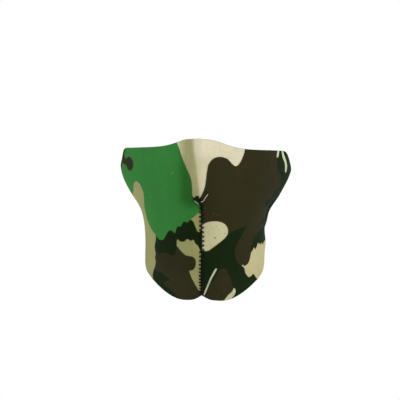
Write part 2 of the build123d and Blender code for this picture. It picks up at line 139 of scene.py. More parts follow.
TABLE = table()
BEND = spline_curvature(GRID, TABLE)

SIDE_FLEX, TAB_FLEX, STRAP_END = 114.0, 159.0, 197.0
DART_TOP_Z = -29.0
LAP, LAP_FROM, LAP_TO = 5.6, 134.0, 156.0
CORNER_R = 13.0
JERSEY, CORE, LINING = 0.32, 1.60, 0.32
GLUE = 0.03
TOTAL = JERSEY + CORE + LINING + 2 * GLUE


def ramp(x, a, b):
    s = np.clip((np.asarray(x, float) - a) / (b - a), 0, 1)
    return s * s * (3 - 2 * s)


def drape(th, z):
    """How far the worn cloth stands off the even surface, the two cheeks not quite alike."""
    th = np.asarray(th, float)
    right = ramp(th, 48, 84) * (1 - ramp(th, 117, 133))
    left = ramp(-th, 50, 82) * (1 - ramp(-th, 101, 113.5))
    return (right * (-3.5 * np.exp(-((z + 41) / 10.5) ** 2) + 1.1 * np.exp(-((z + 96) / 13) ** 2) - 0.8 * np.exp(-((z + 60) / 9) ** 2))
            + left * (1.75 * ramp(z, -42, -24) + 0.9 * np.exp(-((z + 105) / 12) ** 2) - 1.7 * np.exp(-((z + 70) / 10) ** 2)))


def lift_top(th):
    th = np.asarray(th, float)
    return ((1.45 * ramp(-th, 4, 11) + 0.3 * ramp(-th, 60, 85)) * (1 - ramp(-th, 98, 113)) - 0.75 * ramp(th, -4, 2) * (1 - ramp(th, 84, 100))
            - 1.9 * np.exp(-((th - 98) / 6.5) ** 2))


def radius(th, z):
    extra = drape(th, np.asarray(z, float))
    th, z = np.broadcast_arrays(np.abs(np.asarray(th, float)), np.asarray(z, float))
    th = np.where(th > 180, 360 - th, th)
    last = len(ANGLES) - 1
    k = np.clip((th / STEP).astype(int), 0, last - 1)
    f = th / STEP - k
    i = np.clip(np.searchsorted(GRID, z) - 1, 0, len(GRID) - 2)
    h, t0, t1 = GRID_STEP, GRID[i + 1] - z, z - GRID[i]

    def col(j):
        j = np.abs(j)
        j = np.where(j > last, 2 * last - j, j)
        return (BEND[i, j] * t0**3 + BEND[i + 1, j] * t1**3) / (6 * h) + (TABLE[i, j] / h - BEND[i, j] * h / 6) * t0 + (TABLE[i + 1, j] / h - BEND[i + 1, j] * h / 6) * t1

    p0, p1, p2, p3 = col(k - 1), col(k), col(k + 1), col(k + 2)
    return p1 + 0.5 * f * (p2 - p0 + f * (2 * p0 - 5 * p1 + 4 * p2 - p3 + f * (3 * (p1 - p2) + p3 - p0))) + extra


def lap(th):
    s = np.clip((np.asarray(th, float) - LAP_FROM) / (LAP_TO - LAP_FROM), 0, 1)
    return LAP * s**3 * (10 - 15 * s + 6 * s * s)


def z_top(th):
    t = np.array(TOP, float)
    return spline_at(t[:, 0], t[:, 1], np.abs(th), True, True) + lift_top(th)


def z_bottom(th):
    th = np.asarray(th, float)
    a, b = np.array(BOTTOM_LEFT, float), np.array(BOTTOM_RIGHT, float)
    z = np.where(th > 0, spline_at(a[:, 0], a[:, 1], np.abs(th), False, True), spline_at(b[:, 0], b[:, 1], np.abs(th), False, True))
    return z - 1.5 * np.exp(-((th + 55) / 12) ** 2) - 1.7 * np.exp(-((th - 57) / 11) ** 2)


def outer(th, z, lapped):
    r = radius(th, z) + (lap(th) if lapped else 0)
    a = np.radians(th)
    return np.stack(np.broadcast_arrays(r * np.sin(a), -r * np.cos(a), z + 0 * r), -1)


def unit(v):
    return v / np.maximum(np.linalg.norm(v, axis=-1, keepdims=True), 1e-12)


def surface(th, z, lapped=False):
    """Point, outward normal, level tangent and upward tangent."""
    p = outer(th, z, lapped)
    u = unit(outer(th + 0.25, z, lapped) - outer(th - 0.25, z, lapped))
    v = unit(outer(th, z + 0.3, lapped) - outer(th, z - 0.3, lapped))
    return p, unit(np.cross(u, v)), u, v


# ------------------------------------------------------------------ print: outlines of the patches, (angle from the front, height)
# colour, side of the dart it is on (0 both), smooth outline, points
PATCHES = [
    ('G', 0, 1, [(-15.9, 23.5), (-13.9, 18.4), (-12, 12.6), (-10.7, 7.5), (-8.5, 0.1), (-6.4, -6.1), (-4.8, -11.8), (-4.2, -15.1), (-3.7, -21.8), (-3.7, -26.6), (-3.2, -30.5), (-1.6, -32.5), (-0.3, -33.4), (-0, -36.9), (-0.1, -40.8), (-1.5, -43.5), (-3, -47.8), (-3.3, -53.9), (-6.2, -56.6), (-9.8, -60.2), (-12.1, -62.9), (-14.6, -64.3), (-17.3, -65.3), (-19.1, -66.1), (-21.3, -67.2), (-24, -67.1), (-25.6, -65.7), (-28.4, -63.2), (-33.2, -59.4), (-38.3, -55), (-51.2, -49.4), (-42.8, -44.7), (-71, -39.4), (-98, -34), (-106, -30), (-116, -26), (-124, -14), (-122, 4), (-110, 20), (-88, 30), (-34.1, 24.3)]),
    ('L', 0, 1, [(-59.5, -19), (-57.3, -16.7), (-53.9, -14.9), (-50.4, -14.5), (-47, -15.4), (-44.1, -17.2), (-41.4, -21), (-39.7, -25), (-39.8, -30.8), (-41.5, -38.9), (-40.2, -47), (-36.5, -53.8), (-33, -58.2), (-28.7, -62.1), (-27.8, -66), (-29.5, -70.1), (-30.6, -74.2), (-29.7, -79.3), (-31, -83.4), (-30.5, -86.8), (-32.9, -91.7), (-36, -95.4), (-39.2, -99.7), (-43.3, -105.5), (-78, -98), (-92, -84), (-103, -72), (-112, -66), (-120, -60), (-124, -50), (-118, -40), (-108, -36), (-101, -33), (-76.9, -33), (-78.9, -28.4), (-64.8, -23.8)]),
    ('B', 0, 1, [(-77.5, 16.3), (-78.4, 14.4), (-79, 12), (-77.2, 9.2), (-73.8, 7), (-71.2, 7.9), (-68.4, 8.7), (-63.9, 8), (-59.5, 5.7), (-56.2, 2.3), (-56.2, -1.3), (-58.9, -3.8), (-64, -4.5), (-68.2, -2.8), (-70.5, -0.5), (-73.8, 1.4), (-78.8, 2.4), (-84, 2), (-99, -13), (-104, -10), (-109, -2), (-110, 10), (-104, 20), (-96, 26), (-85.3, 19.9)]),
    ('N', 0, 1, [(-15.9, 23.5), (-13.9, 18.4), (-12, 12.6), (-10.7, 7.5), (-8.5, 0.1), (-6.4, -6.1), (-4.8, -11.8), (-4.2, -15.1), (-3.7, -21.8), (-3.6, -26.7), (-3, -29), (-1.9, -30), (-0.8, -29.9), (0, -29), (0.7, -26.2), (1.4, -22.8), (1.9, -19.5), (2.3, -14), (2.6, -8.5), (3, -4), (3.5, -0.5), (4.6, 2.7), (6.1, 4.9), (7.8, 6.2), (10, 6.7), (12.1, 6), (13.9, 4.9), (15.3, 2.7), (16.7, 0.3), (17.8, -1), (18.8, -1.3), (20.2, 0), (21.5, 2.5), (22.4, 4.6), (24, 9.2), (25.1, 13.3), (26.5, 19.6), (26.5, 26.5), (16, 36), (0, 44), (-12, 40), (-14.1, 28)]),
    ('K', 0, 1, [(68.7, 19.1), (67, 15.3), (65, 11.5), (60.9, 7.4), (59.4, 3), (60, -2.2), (63.7, -5.7), (69.1, -9.5), (73.6, -14.5), (71.5, -18.6), (64.7, -21.2), (59.3, -24.5), (56.9, -28.2), (49.5, -32), (49.4, -36.8), (91.3, -41.7), (50.3, -47.5), (49.7, -53), (92, -60), (100, -58), (104, -52), (113, -40), (118, -22), (117, -6), (106, 10), (92, 26), (77, 22.4)]),
    ('W', 0, 1, [(65.1, 16.2), (68, 16.3), (66.5, 13), (64, 9.3), (61.3, 8), (60.4, 9.1), (62.7, 12.8)]),
    ('W', 0, 1, [(72.3, 15.7), (74.7, 14.7), (76.1, 11.1), (78.4, 7.6), (80.7, 3.3), (81.2, -0.9), (80.1, -4.7), (76.6, -4.5), (76.4, -0), (75.5, 4.2), (73, 7.5), (72, 11.8)]),
    ('T', 1, 1, [(33.8, -69.6), (33.3, -73.3), (32.5, -76.8), (31.5, -80.8), (31, -84.6), (29.8, -87.7), (28, -89.3), (26.3, -89.8), (24.8, -88.7), (23.5, -89), (25.2, -91.2), (26.8, -94.5), (28.7, -98.2), (30.8, -100.1), (33.2, -100.5), (36.3, -99.3), (38.5, -97.8), (40.8, -99.9), (44.4, -102.2), (49.2, -103.3), (54.3, -104.1), (66, -94), (76, -92), (90, -86), (100, -76), (103, -68), (100, -63), (94, -58), (89.6, -65.2), (45.2, -65.6)]),
    ('K', 1, 0, [(45.2, -57.8), (40.3, -60.5), (36, -63.2), (33.8, -65.7), (32.5, -68.7), (31.7, -72.3), (31.5, -76), (32.5, -77.1), (33.5, -76.5), (34.3, -75.3), (35, -73.5), (35.8, -73.9), (36.9, -75.5), (38, -74.8), (40.1, -72.3), (40.8, -70.3), (41.8, -69.5), (43.3, -71.2), (44.4, -71.8), (44.5, -70.2), (45.7, -70), (47.1, -71.5), (48.9, -72.2), (49.5, -70.3), (51.1, -69.7), (53, -71.2), (56.3, -71.9), (59.1, -69.8), (70.1, -69), (85.9, -68.7), (94, -62), (99, -66), (104, -64), (108, -56), (104, -46), (103.8, -52), (52.2, -54.8)]),
    ('O', 1, 1, [(-0.4, -52.4), (1.6, -51.7), (3, -50.7), (4.7, -50), (6.5, -49.8), (8.3, -50.1), (10.2, -51), (11.7, -52.7), (12.6, -54.9), (13.2, -57.7), (13.2, -60), (12.7, -62.2), (11.4, -65), (9.8, -67.1), (7.5, -70.2), (5.5, -72.9), (4, -74.8), (3, -75.6), (1.9, -75.5), (1, -74.8), (-0.4, -73.7)]),
    ('K', 1, 1, [(25.2, -54.4), (20.8, -56), (17.5, -57.5), (15.2, -59.4), (13.3, -61.6), (11.4, -65), (9.1, -68.8), (6.7, -72.6), (4.4, -75.7), (3.1, -76.6), (1.6, -76.7), (-0.5, -75.9), (-0.6, -95.2), (-1.2, -113), (-2, -132), (10, -134), (30, -128), (50, -114), (62, -102), (57, -103.5), (48, -103.3), (44.2, -102), (41.3, -100), (39.2, -98.3), (37.7, -98.2), (36.6, -99.6), (35.2, -101), (32.8, -100.6), (30.2, -98.5), (28, -95.9), (26.7, -92.3), (24.4, -90), (21.7, -88), (19.6, -85), (18.3, -81.5), (17.8, -77.5), (18.1, -73.5), (19.9, -67.5), (22, -62.5), (24, -58.3)]),
    ('B', 1, 1, [(12.9, -92), (14.3, -95.5), (15.9, -98.5), (17.8, -103.3), (19.3, -107.5), (21.3, -110.3), (20.6, -113.5), (18.2, -117.6), (16.5, -121.7), (14.7, -125.3), (12, -132), (2, -132), (0.2, -120.4), (1.2, -116.2), (3, -111.8), (4, -107.5), (5.1, -105.2), (6.4, -103), (7.3, -100.5), (8, -97.8), (8.7, -94.1), (9.7, -92.2), (11.2, -91.5)]),
    ('W', 1, 1, [(7.5, -90.9), (8.1, -91.5), (7.6, -93.6), (6.6, -97.2), (5.5, -100.9), (4.5, -105.4), (3.3, -110.6), (2, -115.3), (1.2, -116), (1.3, -114.4), (2.5, -110.1), (3.7, -105), (4.7, -100.3), (5.8, -96.3), (6.7, -93.1)]),
    ('O', 1, 1, [(20.7, -109.7), (21.9, -110.5), (23, -113.7), (22.2, -117), (20.5, -119.5), (19.1, -122.5), (16.6, -125.4), (14.2, -125.3), (15.4, -120.7), (16.5, -118.1), (17.8, -115.5), (19.8, -112.9)]),
    ('L', -1, 1, [(1.2, -40.4), (-0, -41.2), (-0.7, -42), (-2, -44.5), (-3.8, -47.5), (-4.3, -48.5), (-3.7, -49.3), (-3.1, -50.5), (-2.6, -52.9), (-2, -55.7), (-1.4, -58.5), (-0.7, -59.6), (1.2, -59.4)]),
    ('L', -1, 1, [(-11.6, -64.8), (-9.4, -65.5), (-6.8, -63.5), (-3.9, -63.9), (-2, -67), (-0.4, -71.3), (1.6, -74.7), (1.5, -112.8), (-0.7, -113), (-1.8, -110.6), (-3.3, -105.7), (-4.8, -100), (-5.5, -95.5), (-5.8, -92.8), (-4.9, -93.1), (-3.9, -92.6), (-3, -91), (-2.3, -88), (-2.2, -84.8), (-2.6, -82.4), (-3.6, -80.8), (-5.3, -80.1), (-7.1, -79.5), (-8.2, -78.1), (-9.7, -75.5), (-10.8, -73.2), (-11.9, -71.3), (-11.9, -68.1)]),
    ('K', -1, 1, [(-27.7, -63.3), (-26.5, -65.6), (-24.5, -66.8), (-22.7, -67.1), (-21.2, -66.7), (-19.8, -65.2), (-18.7, -63), (-17.9, -61), (-17, -59.3), (-16, -58.3), (-15, -58.2), (-14.3, -58.6), (-13.7, -59.7), (-13.3, -60.3), (-12.8, -60.7), (-12.3, -59.8), (-12, -57.8), (-11.5, -55.6), (-10.8, -54.5), (-10.3, -54.3), (-9.8, -55), (-9.4, -54.8), (-8.9, -53.4), (-8.3, -51.5), (-7.7, -50.3), (-7.2, -50.1), (-6.5, -50.9), (-6.2, -51.7), (-5.8, -51.4), (-5.5, -50), (-4.9, -49.3), (-4.1, -49.1), (-3.5, -49.7), (-3, -50.9), (-2.6, -52.9), (-2, -55.7), (-1.5, -58.2), (-0.7, -59.3), (1.6, -58.5), (1.6, -77.4), (0.3, -77), (-0.1, -74.7), (-0.6, -72.8), (-1.3, -70.6), (-2, -69.6), (-2.5, -68.2), (-2.8, -66.7), (-3.3, -65.9), (-4, -66.2), (-4.5, -66.9), (-4.9, -66.7), (-5.3, -65.8), (-6, -65.3), (-6.7, -65.7), (-7.2, -66.8), (-7.7, -67.6), (-8.4, -67.7), (-9.2, -67.7), (-9.8, -67.5), (-10.4, -66.8), (-11, -65.7), (-11.5, -65.5), (-11.8, -68.1), (-12, -71.7), (-12.4, -75.9), (-13.2, -78.9), (-14.2, -80.2), (-15.4, -80.2), (-17, -79.5), (-19, -78.3), (-21.2, -78.2), (-24, -78.7), (-27, -79), (-28.5, -77.7), (-29.5, -74.6), (-29, -70.5), (-28.3, -67.5)]),
    ('K', -1, 1, [(-33.9, -94), (-31.2, -95.6), (-26, -96.3), (-23.3, -98.4), (-20.8, -100.8), (-18.9, -102.8), (-22, -103.8), (-25.6, -105.6), (-23.8, -108.4), (-21.5, -111.2), (-19, -114.5), (-17, -117.1), (-15.8, -119.7), (-14.7, -124.5), (-22, -132), (-40, -122), (-60, -106), (-76, -96), (-80, -88), (-41.2, -102.8), (-38.2, -99), (-36.2, -96)]),
    ('K', 1, 1, [(9.1, -56.8), (9, -57.3), (8.7, -57.3), (8.5, -56.8), (8.7, -56.4), (9, -56.4)]),
    ('K', 1, 1, [(11.9, -60.8), (11.7, -61.3), (11.4, -61.3), (11.2, -60.8), (11.3, -60.3), (11.7, -60.3)]),
    ('K', 1, 1, [(7.1, -64.3), (6.9, -64.9), (6.5, -64.8), (6.3, -64.3), (6.5, -63.7), (6.9, -63.7)]),
    ('K', 1, 1, [(4.8, -56.2), (4.7, -56.4), (4.5, -56.4), (4.5, -56.2), (4.5, -55.9), (4.7, -55.9)]),
    ('K', 1, 1, [(5.5, -63.1), (5.5, -63.4), (5.3, -63.4), (5.2, -63.2), (5.3, -62.9), (5.5, -62.9)]),
    ('K', 1, 1, [(3.5, -62), (3.4, -62.3), (3.3, -62.3), (3.2, -62), (3.3, -61.8), (3.4, -61.8)]),
    ('K', -1, 1, [(-5.5, -71.6), (-5.7, -72.1), (-6, -72.1), (-6.2, -71.6), (-6, -71.2), (-5.7, -71.2)]),
    ('L', 0, 1, [(-14.7, -7.3), (-14.9, -7.8), (-15.3, -7.8), (-15.5, -7.3), (-15.3, -6.8), (-15, -6.8)]),
    ('L', 0, 1, [(-15.8, -8.8), (-15.9, -9), (-16.1, -9), (-16.2, -8.8), (-16.1, -8.5), (-15.9, -8.5)]),
    ('L', 0, 1, [(-30.6, -29.3), (-30.9, -29.7), (-31.5, -29.7), (-31.7, -29.3), (-31.4, -28.9), (-30.9, -28.9)]),
    ('G', 0, 1, [(-24.1, -22.6), (-24.3, -22.9), (-24.5, -22.9), (-24.7, -22.6), (-24.6, -22.3), (-24.3, -22.3)]),
    ('L', 0, 1, [(-20.1, 8.8), (-20.2, 8.7), (-20.4, 8.7), (-20.5, 8.9), (-20.4, 9), (-20.3, 9)]),
    ('L', 0, 1, [(-22.5, -30.7), (-22.5, -31), (-22.8, -31), (-22.9, -30.7), (-22.8, -30.5), (-22.5, -30.5)]),
    ('L', 0, 1, [(-13, -19.5), (-13, -19.7), (-13.2, -19.7), (-13.3, -19.5), (-13.2, -19.3), (-13, -19.3)]),
    ('L', 0, 1, [(-12.5, 1.9), (-12.5, 1.7), (-12.7, 1.7), (-12.8, 1.9), (-12.8, 2.2), (-12.5, 2.1)]),
    ('L', 1, 1, [(2.3, -38.9), (2.3, -39.2), (2.1, -39.2), (2, -38.9), (2.1, -38.6), (2.3, -38.6)]),
    ('L', 1, 1, [(1.8, -40.8), (1.7, -41), (1.6, -41), (1.6, -40.8), (1.6, -40.5), (1.7, -40.5)]),
    ('T', 1, 1, [(2.7, -39.5), (2.6, -39.7), (2.5, -39.7), (2.5, -39.4), (2.5, -39.2), (2.6, -39.2)]),
    ('L', 1, 1, [(6, -43.2), (6, -43.5), (5.8, -43.5), (5.7, -43.2), (5.8, -42.9), (6, -42.9)]),
    ('L', 1, 1, [(8, -44.8), (7.9, -45.2), (7.7, -45.2), (7.5, -44.8), (7.7, -44.5), (7.9, -44.5)]),
    ('L', 1, 1, [(8.6, -42), (8.5, -42.2), (8.3, -42.2), (8.3, -42), (8.3, -41.7), (8.5, -41.7)]),
    ('L', 1, 1, [(10.4, -50.8), (10.3, -51.1), (10.1, -51.1), (10, -50.9), (10.1, -50.6), (10.3, -50.6)]),
    ('L', 1, 1, [(5, -46.3), (5, -46.5), (4.9, -46.5), (4.8, -46.3), (4.8, -46.1), (5, -46.1)]),
    ('L', 1, 1, [(13, -66.2), (13, -66.4), (12.8, -66.4), (12.7, -66.2), (12.8, -66), (12.9, -66)]),
    ('L', 0, 1, [(21.6, -10), (21.5, -10.2), (21.3, -10.2), (21.3, -10), (21.4, -9.8), (21.5, -9.8)]),
    ('L', 0, 1, [(17.8, -34.7), (17.8, -35), (17.6, -35), (17.5, -34.7), (17.6, -34.5), (17.8, -34.5)]),
    ('L', 1, 1, [(14.1, -112.1), (14, -112.4), (13.8, -112.4), (13.7, -112.1), (13.7, -111.8), (14, -111.9)]),
    ('L', 1, 1, [(12.5, -115.3), (12.4, -115.5), (12.2, -115.5), (12.1, -115.3), (12.2, -115.1), (12.3, -115.1)]),
    ('L', -1, 1, [(-10.6, -101.1), (-10.8, -101.3), (-10.9, -101.3), (-11, -101.1), (-10.8, -100.9), (-10.7, -100.9)]),
    ('L', 0, 1, [(-22.3, -22.7), (-22.5, -23), (-22.7, -23), (-22.8, -22.7), (-22.7, -22.5), (-22.5, -22.5)]),
    ('L', 0, 1, [(-29.7, -1.3), (-29.8, -1.5), (-30, -1.5), (-30.2, -1.3), (-30, -1), (-29.8, -1)]),
    ('L', 0, 1, [(-16.7, -38.5), (-16.8, -38.7), (-17, -38.7), (-17, -38.5), (-17, -38.3), (-16.8, -38.3)]),
    ('K', 1, 1, [(3.2, -62.9), (3.1, -63.2), (3, -63.2), (2.9, -63), (3, -62.7), (3.1, -62.7)]),
    ('K', 1, 1, [(7.4, -54.4), (7.3, -54.6), (7.2, -54.6), (7.1, -54.4), (7.2, -54.1), (7.3, -54.1)]),
    ('K', 1, 1, [(4.8, -70.9), (4.7, -71.2), (4.6, -71.1), (4.5, -70.9), (4.6, -70.7), (4.7, -70.7)]),
    ('K', 0, 1, [(-116, -20), (-122, -8), (-130, -2), (-138, 2), (-146, 0), (-150, -10), (-144, -16), (-147, -26), (-140, -34), (-132, -30), (-128, -38), (-121, -36), (-124, -27)]),
    ('L', 0, 1, [(-150, -50), (-146, -40), (-152, -30), (-160, -22), (-166, -12), (-174, -4), (-182, -2), (-180, -14), (-172, -24), (-168, -36), (-162, -46), (-158, -62), (-150, -64)]),
    ('G', 0, 1, [(-176, -66), (-174, -50), (-178, -38), (-186, -28), (-190, -12), (-198, -2), (-210, 0), (-210, -70)]),
    ('G', 0, 1, [(-128, -66), (-130, -54), (-138, -48), (-144, -54), (-142, -66)]),
    ('G', 0, 1, [(111, -66), (113, -54), (120, -46), (126, -34), (136, -30), (143, -38), (141, -50), (147, -58), (150, -68)]),
    ('L', 0, 1, [(112, -32), (116, -22), (124, -16), (133, -18), (138, -10), (134, -2), (122, 2), (114, -4), (108, -14), (107, -26)]),
    ('K', 0, 1, [(140, 4), (142, -10), (150, -16), (156, -26), (154, -38), (160, -46), (166, -42), (168, -30), (176, -24), (182, -14), (180, 2)]),
    ('T', 0, 1, [(158, -68), (162, -58), (170, -52), (175, -44), (184, -42), (188, -50), (184, -60), (186, -70)]),
    ('G', 0, 1, [(186, 4), (187, -8), (192, -16), (190, -28), (196, -36), (208, -36), (210, 4)]),
    ('K', 0, 1, [(-107, -60), (-110, -52), (-117, -47), (-121, -50), (-126, -47), (-131, -51), (-129, -57), (-122, -57), (-118, -62), (-112, -66)]),
    ('B', 0, 1, [(-100, -47), (-104, -43), (-110, -43), (-114, -39), (-112, -46), (-106, -51), (-101, -53)]),
]
WIDE = 1.35  # mm per degree, near enough all round
CLASSES = "GTLONKW"


def outline(points, smooth):
    p = np.array(points, float) * (WIDE, 1.0)
    if not smooth:
        return p
    out = []
    n = len(p)
    for i in range(n):
        a, b, c, d = p[i - 1], p[i], p[(i + 1) % n], p[(i + 2) % n]
        for t in (0.0, 0.25, 0.5, 0.75):
            out.append(0.5 * (2 * b + (c - a) * t + (2 * a - 5 * b + 4 * c - d) * t * t + (3 * b - a - 3 * c + d) * t**3))
    return np.array(out)


def signed_distance(q, poly):
    """Distance to the outline, negative inside; only computed near its box."""
    out = np.full(len(q), 6.0)
    lo, hi = poly.min(0) - 6, poly.max(0) + 6
    near = np.nonzero(((q > lo) & (q < hi)).all(1))[0]
    a = poly
    b = np.roll(poly, -1, 0)
    e = b - a
    ee = np.maximum((e * e).sum(1), 1e-9)
    for s in range(0, len(near), 4000):
        idx = near[s:s + 4000]
        w = q[idx][:, None] - a[None]
        t = np.clip((w * e).sum(2) / ee, 0, 1)
        d = np.sqrt(((w - e * t[..., None]) ** 2).sum(2).min(1))
        y = q[idx][:, 1][:, None]
        x = q[idx][:, 0][:, None]
        cross = ((a[:, 1] > y) != (b[:, 1] > y)) & (x < a[:, 0] + (y - a[:, 1]) / np.where(e[:, 1] == 0, 1e-9, e[:, 1]) * e[:, 0])
        inside = cross.sum(1) % 2 == 1
        out[idx] = np.where(inside, -d, d)
    return np.clip(out, -6, 6)


OUTLINES = [(c, side, outline(pts, smooth)) for c, side, smooth, pts in PATCHES]


def seam_lean(z):
    """The worn seam wanders a little off the centre plane, degrees."""
    return 0.5 * ramp(z, -108, -80)


def camo(th, z, th0=None):
    """One signed field per print colour, negative inside, painted in order."""
    q = np.stack([th * WIDE, z], -1)
    f = {c: np.full(len(q), 6.0) for c in CLASSES}
    for c, side, poly in OUTLINES:
        sd = signed_distance(q, poly)
        if side:
            sd = np.where((th if th0 is None else th0) * side > 0, sd, 6.0)
        for k in CLASSES:
            f[k] = np.minimum(f[k], sd) if k == c else np.maximum(f[k], -sd)
    return f


# ------------------------------------------------------------------ meshes
def make_mesh(name, verts, quads, tris=None):
    me = bpy.data.meshes.new(name)
    nq = len(quads)
    nt = 0 if tris is None else len(tris)
    me.vertices.add(len(verts))
    me.vertices.foreach_set("co", (np.asarray(verts, float) * MM).astype(np.float32).ravel())
    loops = np.asarray(quads, np.int32).ravel()
    starts = np.arange(nq, dtype=np.int32) * 4
    if nt:
        starts = np.concatenate([starts, nq * 4 + np.arange(nt, dtype=np.int32) * 3])
        loops = np.concatenate([loops, np.asarray(tris, np.int32).ravel()])
    me.loops.add(len(loops))
    me.loops.foreach_set("vertex_index", loops)
    me.polygons.add(nq + nt)
    me.polygons.foreach_set("loop_start", starts)
    me.polygons.foreach_set("use_smooth", np.ones(nq + nt, bool))
    me.update(calc_edges=True)
    me.validate()
    ob = bpy.data.objects.new(name, me)
    bpy.context.scene.collection.objects.link(ob)
    return ob


def sharp_edges(ob, degrees=40):
    me = ob.data
    me.update()
    n = len(me.edges)
    nor = np.empty(len(me.polygons) * 3, np.float32)
    me.polygons.foreach_get("normal", nor)
    nor = nor.reshape(-1, 3)
    le = np.empty(len(me.loops), np.int32)
    me.loops.foreach_get("edge_index", le)
    tot = np.empty(len(me.polygons), np.int32)
    me.polygons.foreach_get("loop_total", tot)
    lp = np.repeat(np.arange(len(me.polygons)), tot)
    first = np.full(n, -1)
    second = np.full(n, -1)
    order = np.argsort(le, kind="stable")
    e, p = le[order], lp[order]
    start = np.searchsorted(e, np.arange(n))
    end = np.searchsorted(e, np.arange(n), side="right")
    two = (end - start) == 2
    first[two] = p[start[two]]
    second[two] = p[start[two] + 1]
    dot = np.ones(n)
    dot[two] = (nor[first[two]] * nor[second[two]]).sum(1)
    att = me.attributes.get("sharp_edge") or me.attributes.new("sharp_edge", "BOOLEAN", "EDGE")
    att.data.foreach_set("value", dot < math.cos(math.radians(degrees)))


def closed_sheet(name, top, under, keep=None):
    """Two matching grids and the walls between their open edges."""
    nu, nv = top.shape[:2]
    idx = np.arange(nu * nv).reshape(nu, nv)
    keep = np.ones((nu - 1, nv - 1), bool) if keep is None else keep
    a, b, c, d = idx[:-1, :-1][keep], idx[1:, :-1][keep], idx[1:, 1:][keep], idx[:-1, 1:][keep]
    up = np.stack([a, b, c, d], 1)
    half = nu * nv
    down = up[:, ::-1] + half
    edges = np.concatenate([up[:, [0, 1]], up[:, [1, 2]], up[:, [2, 3]], up[:, [3, 0]]])
    key = np.sort(edges, 1)
    _, inv, cnt = np.unique(key, axis=0, return_inverse=True, return_counts=True)
    rim = edges[cnt[inv.ravel()] == 1]
    walls = np.stack([rim[:, 1], rim[:, 0], rim[:, 0] + half, rim[:, 1] + half], 1)
    verts = np.concatenate([top.reshape(-1, 3), under.reshape(-1, 3)])
    quads = np.concatenate([up, down, walls])
    used = np.zeros(len(verts), bool)
    used[quads.ravel()] = True
    remap = np.cumsum(used) - 1
    ob = make_mesh(name, verts[used], remap[quads])
    return ob, used


def scatter(ob, used, name, values):
    v = np.concatenate([values.ravel(), values.ravel()])[used].astype(np.float32)
    att = ob.data.attributes.new(name, "FLOAT", "POINT")
    att.data.foreach_set("value", v)


def scatter_vec(ob, used, name, values):
    v = np.concatenate([values.reshape(-1, 3), values.reshape(-1, 3)])[used].astype(np.float32)
    att = ob.data.attributes.new(name, "FLOAT_VECTOR", "POINT")
    att.data.foreach_set("vector", v.ravel())


EDGE_OFF = np.array([0.0, 0.08, 0.2, 0.36, 0.56, 0.8, 1.1])
MID_ROWS = 112


def rows_for(lo, hi, thin=1):
    """Heights up one column, close together at both cut edges."""
    n = MID_ROWS // thin
    t = (np.arange(n) + 1) / (n + 1)
    a = lo[:, None] + EDGE_OFF
    b = hi[:, None] - EDGE_OFF[::-1]
    m = a[:, -1:] + (b[:, :1] - a[:, -1:]) * t
    return np.concatenate([a, m, b], 1)


def strap_limits(th, side_end):
    """Cut edges, with the rounded corners at the free end."""
    lo, hi = z_bottom(th), z_top(th)
    if side_end:
        arc = np.abs(th) * math.radians(1) * 83.0
        s = np.clip(arc - (STRAP_END * math.radians(1) * 83.0 - CORNER_R), 0, CORNER_R)
        cut = CORNER_R - np.sqrt(np.maximum(CORNER_R**2 - s * s, 0))
        lo, hi = lo + cut, hi - cut
    return lo, hi


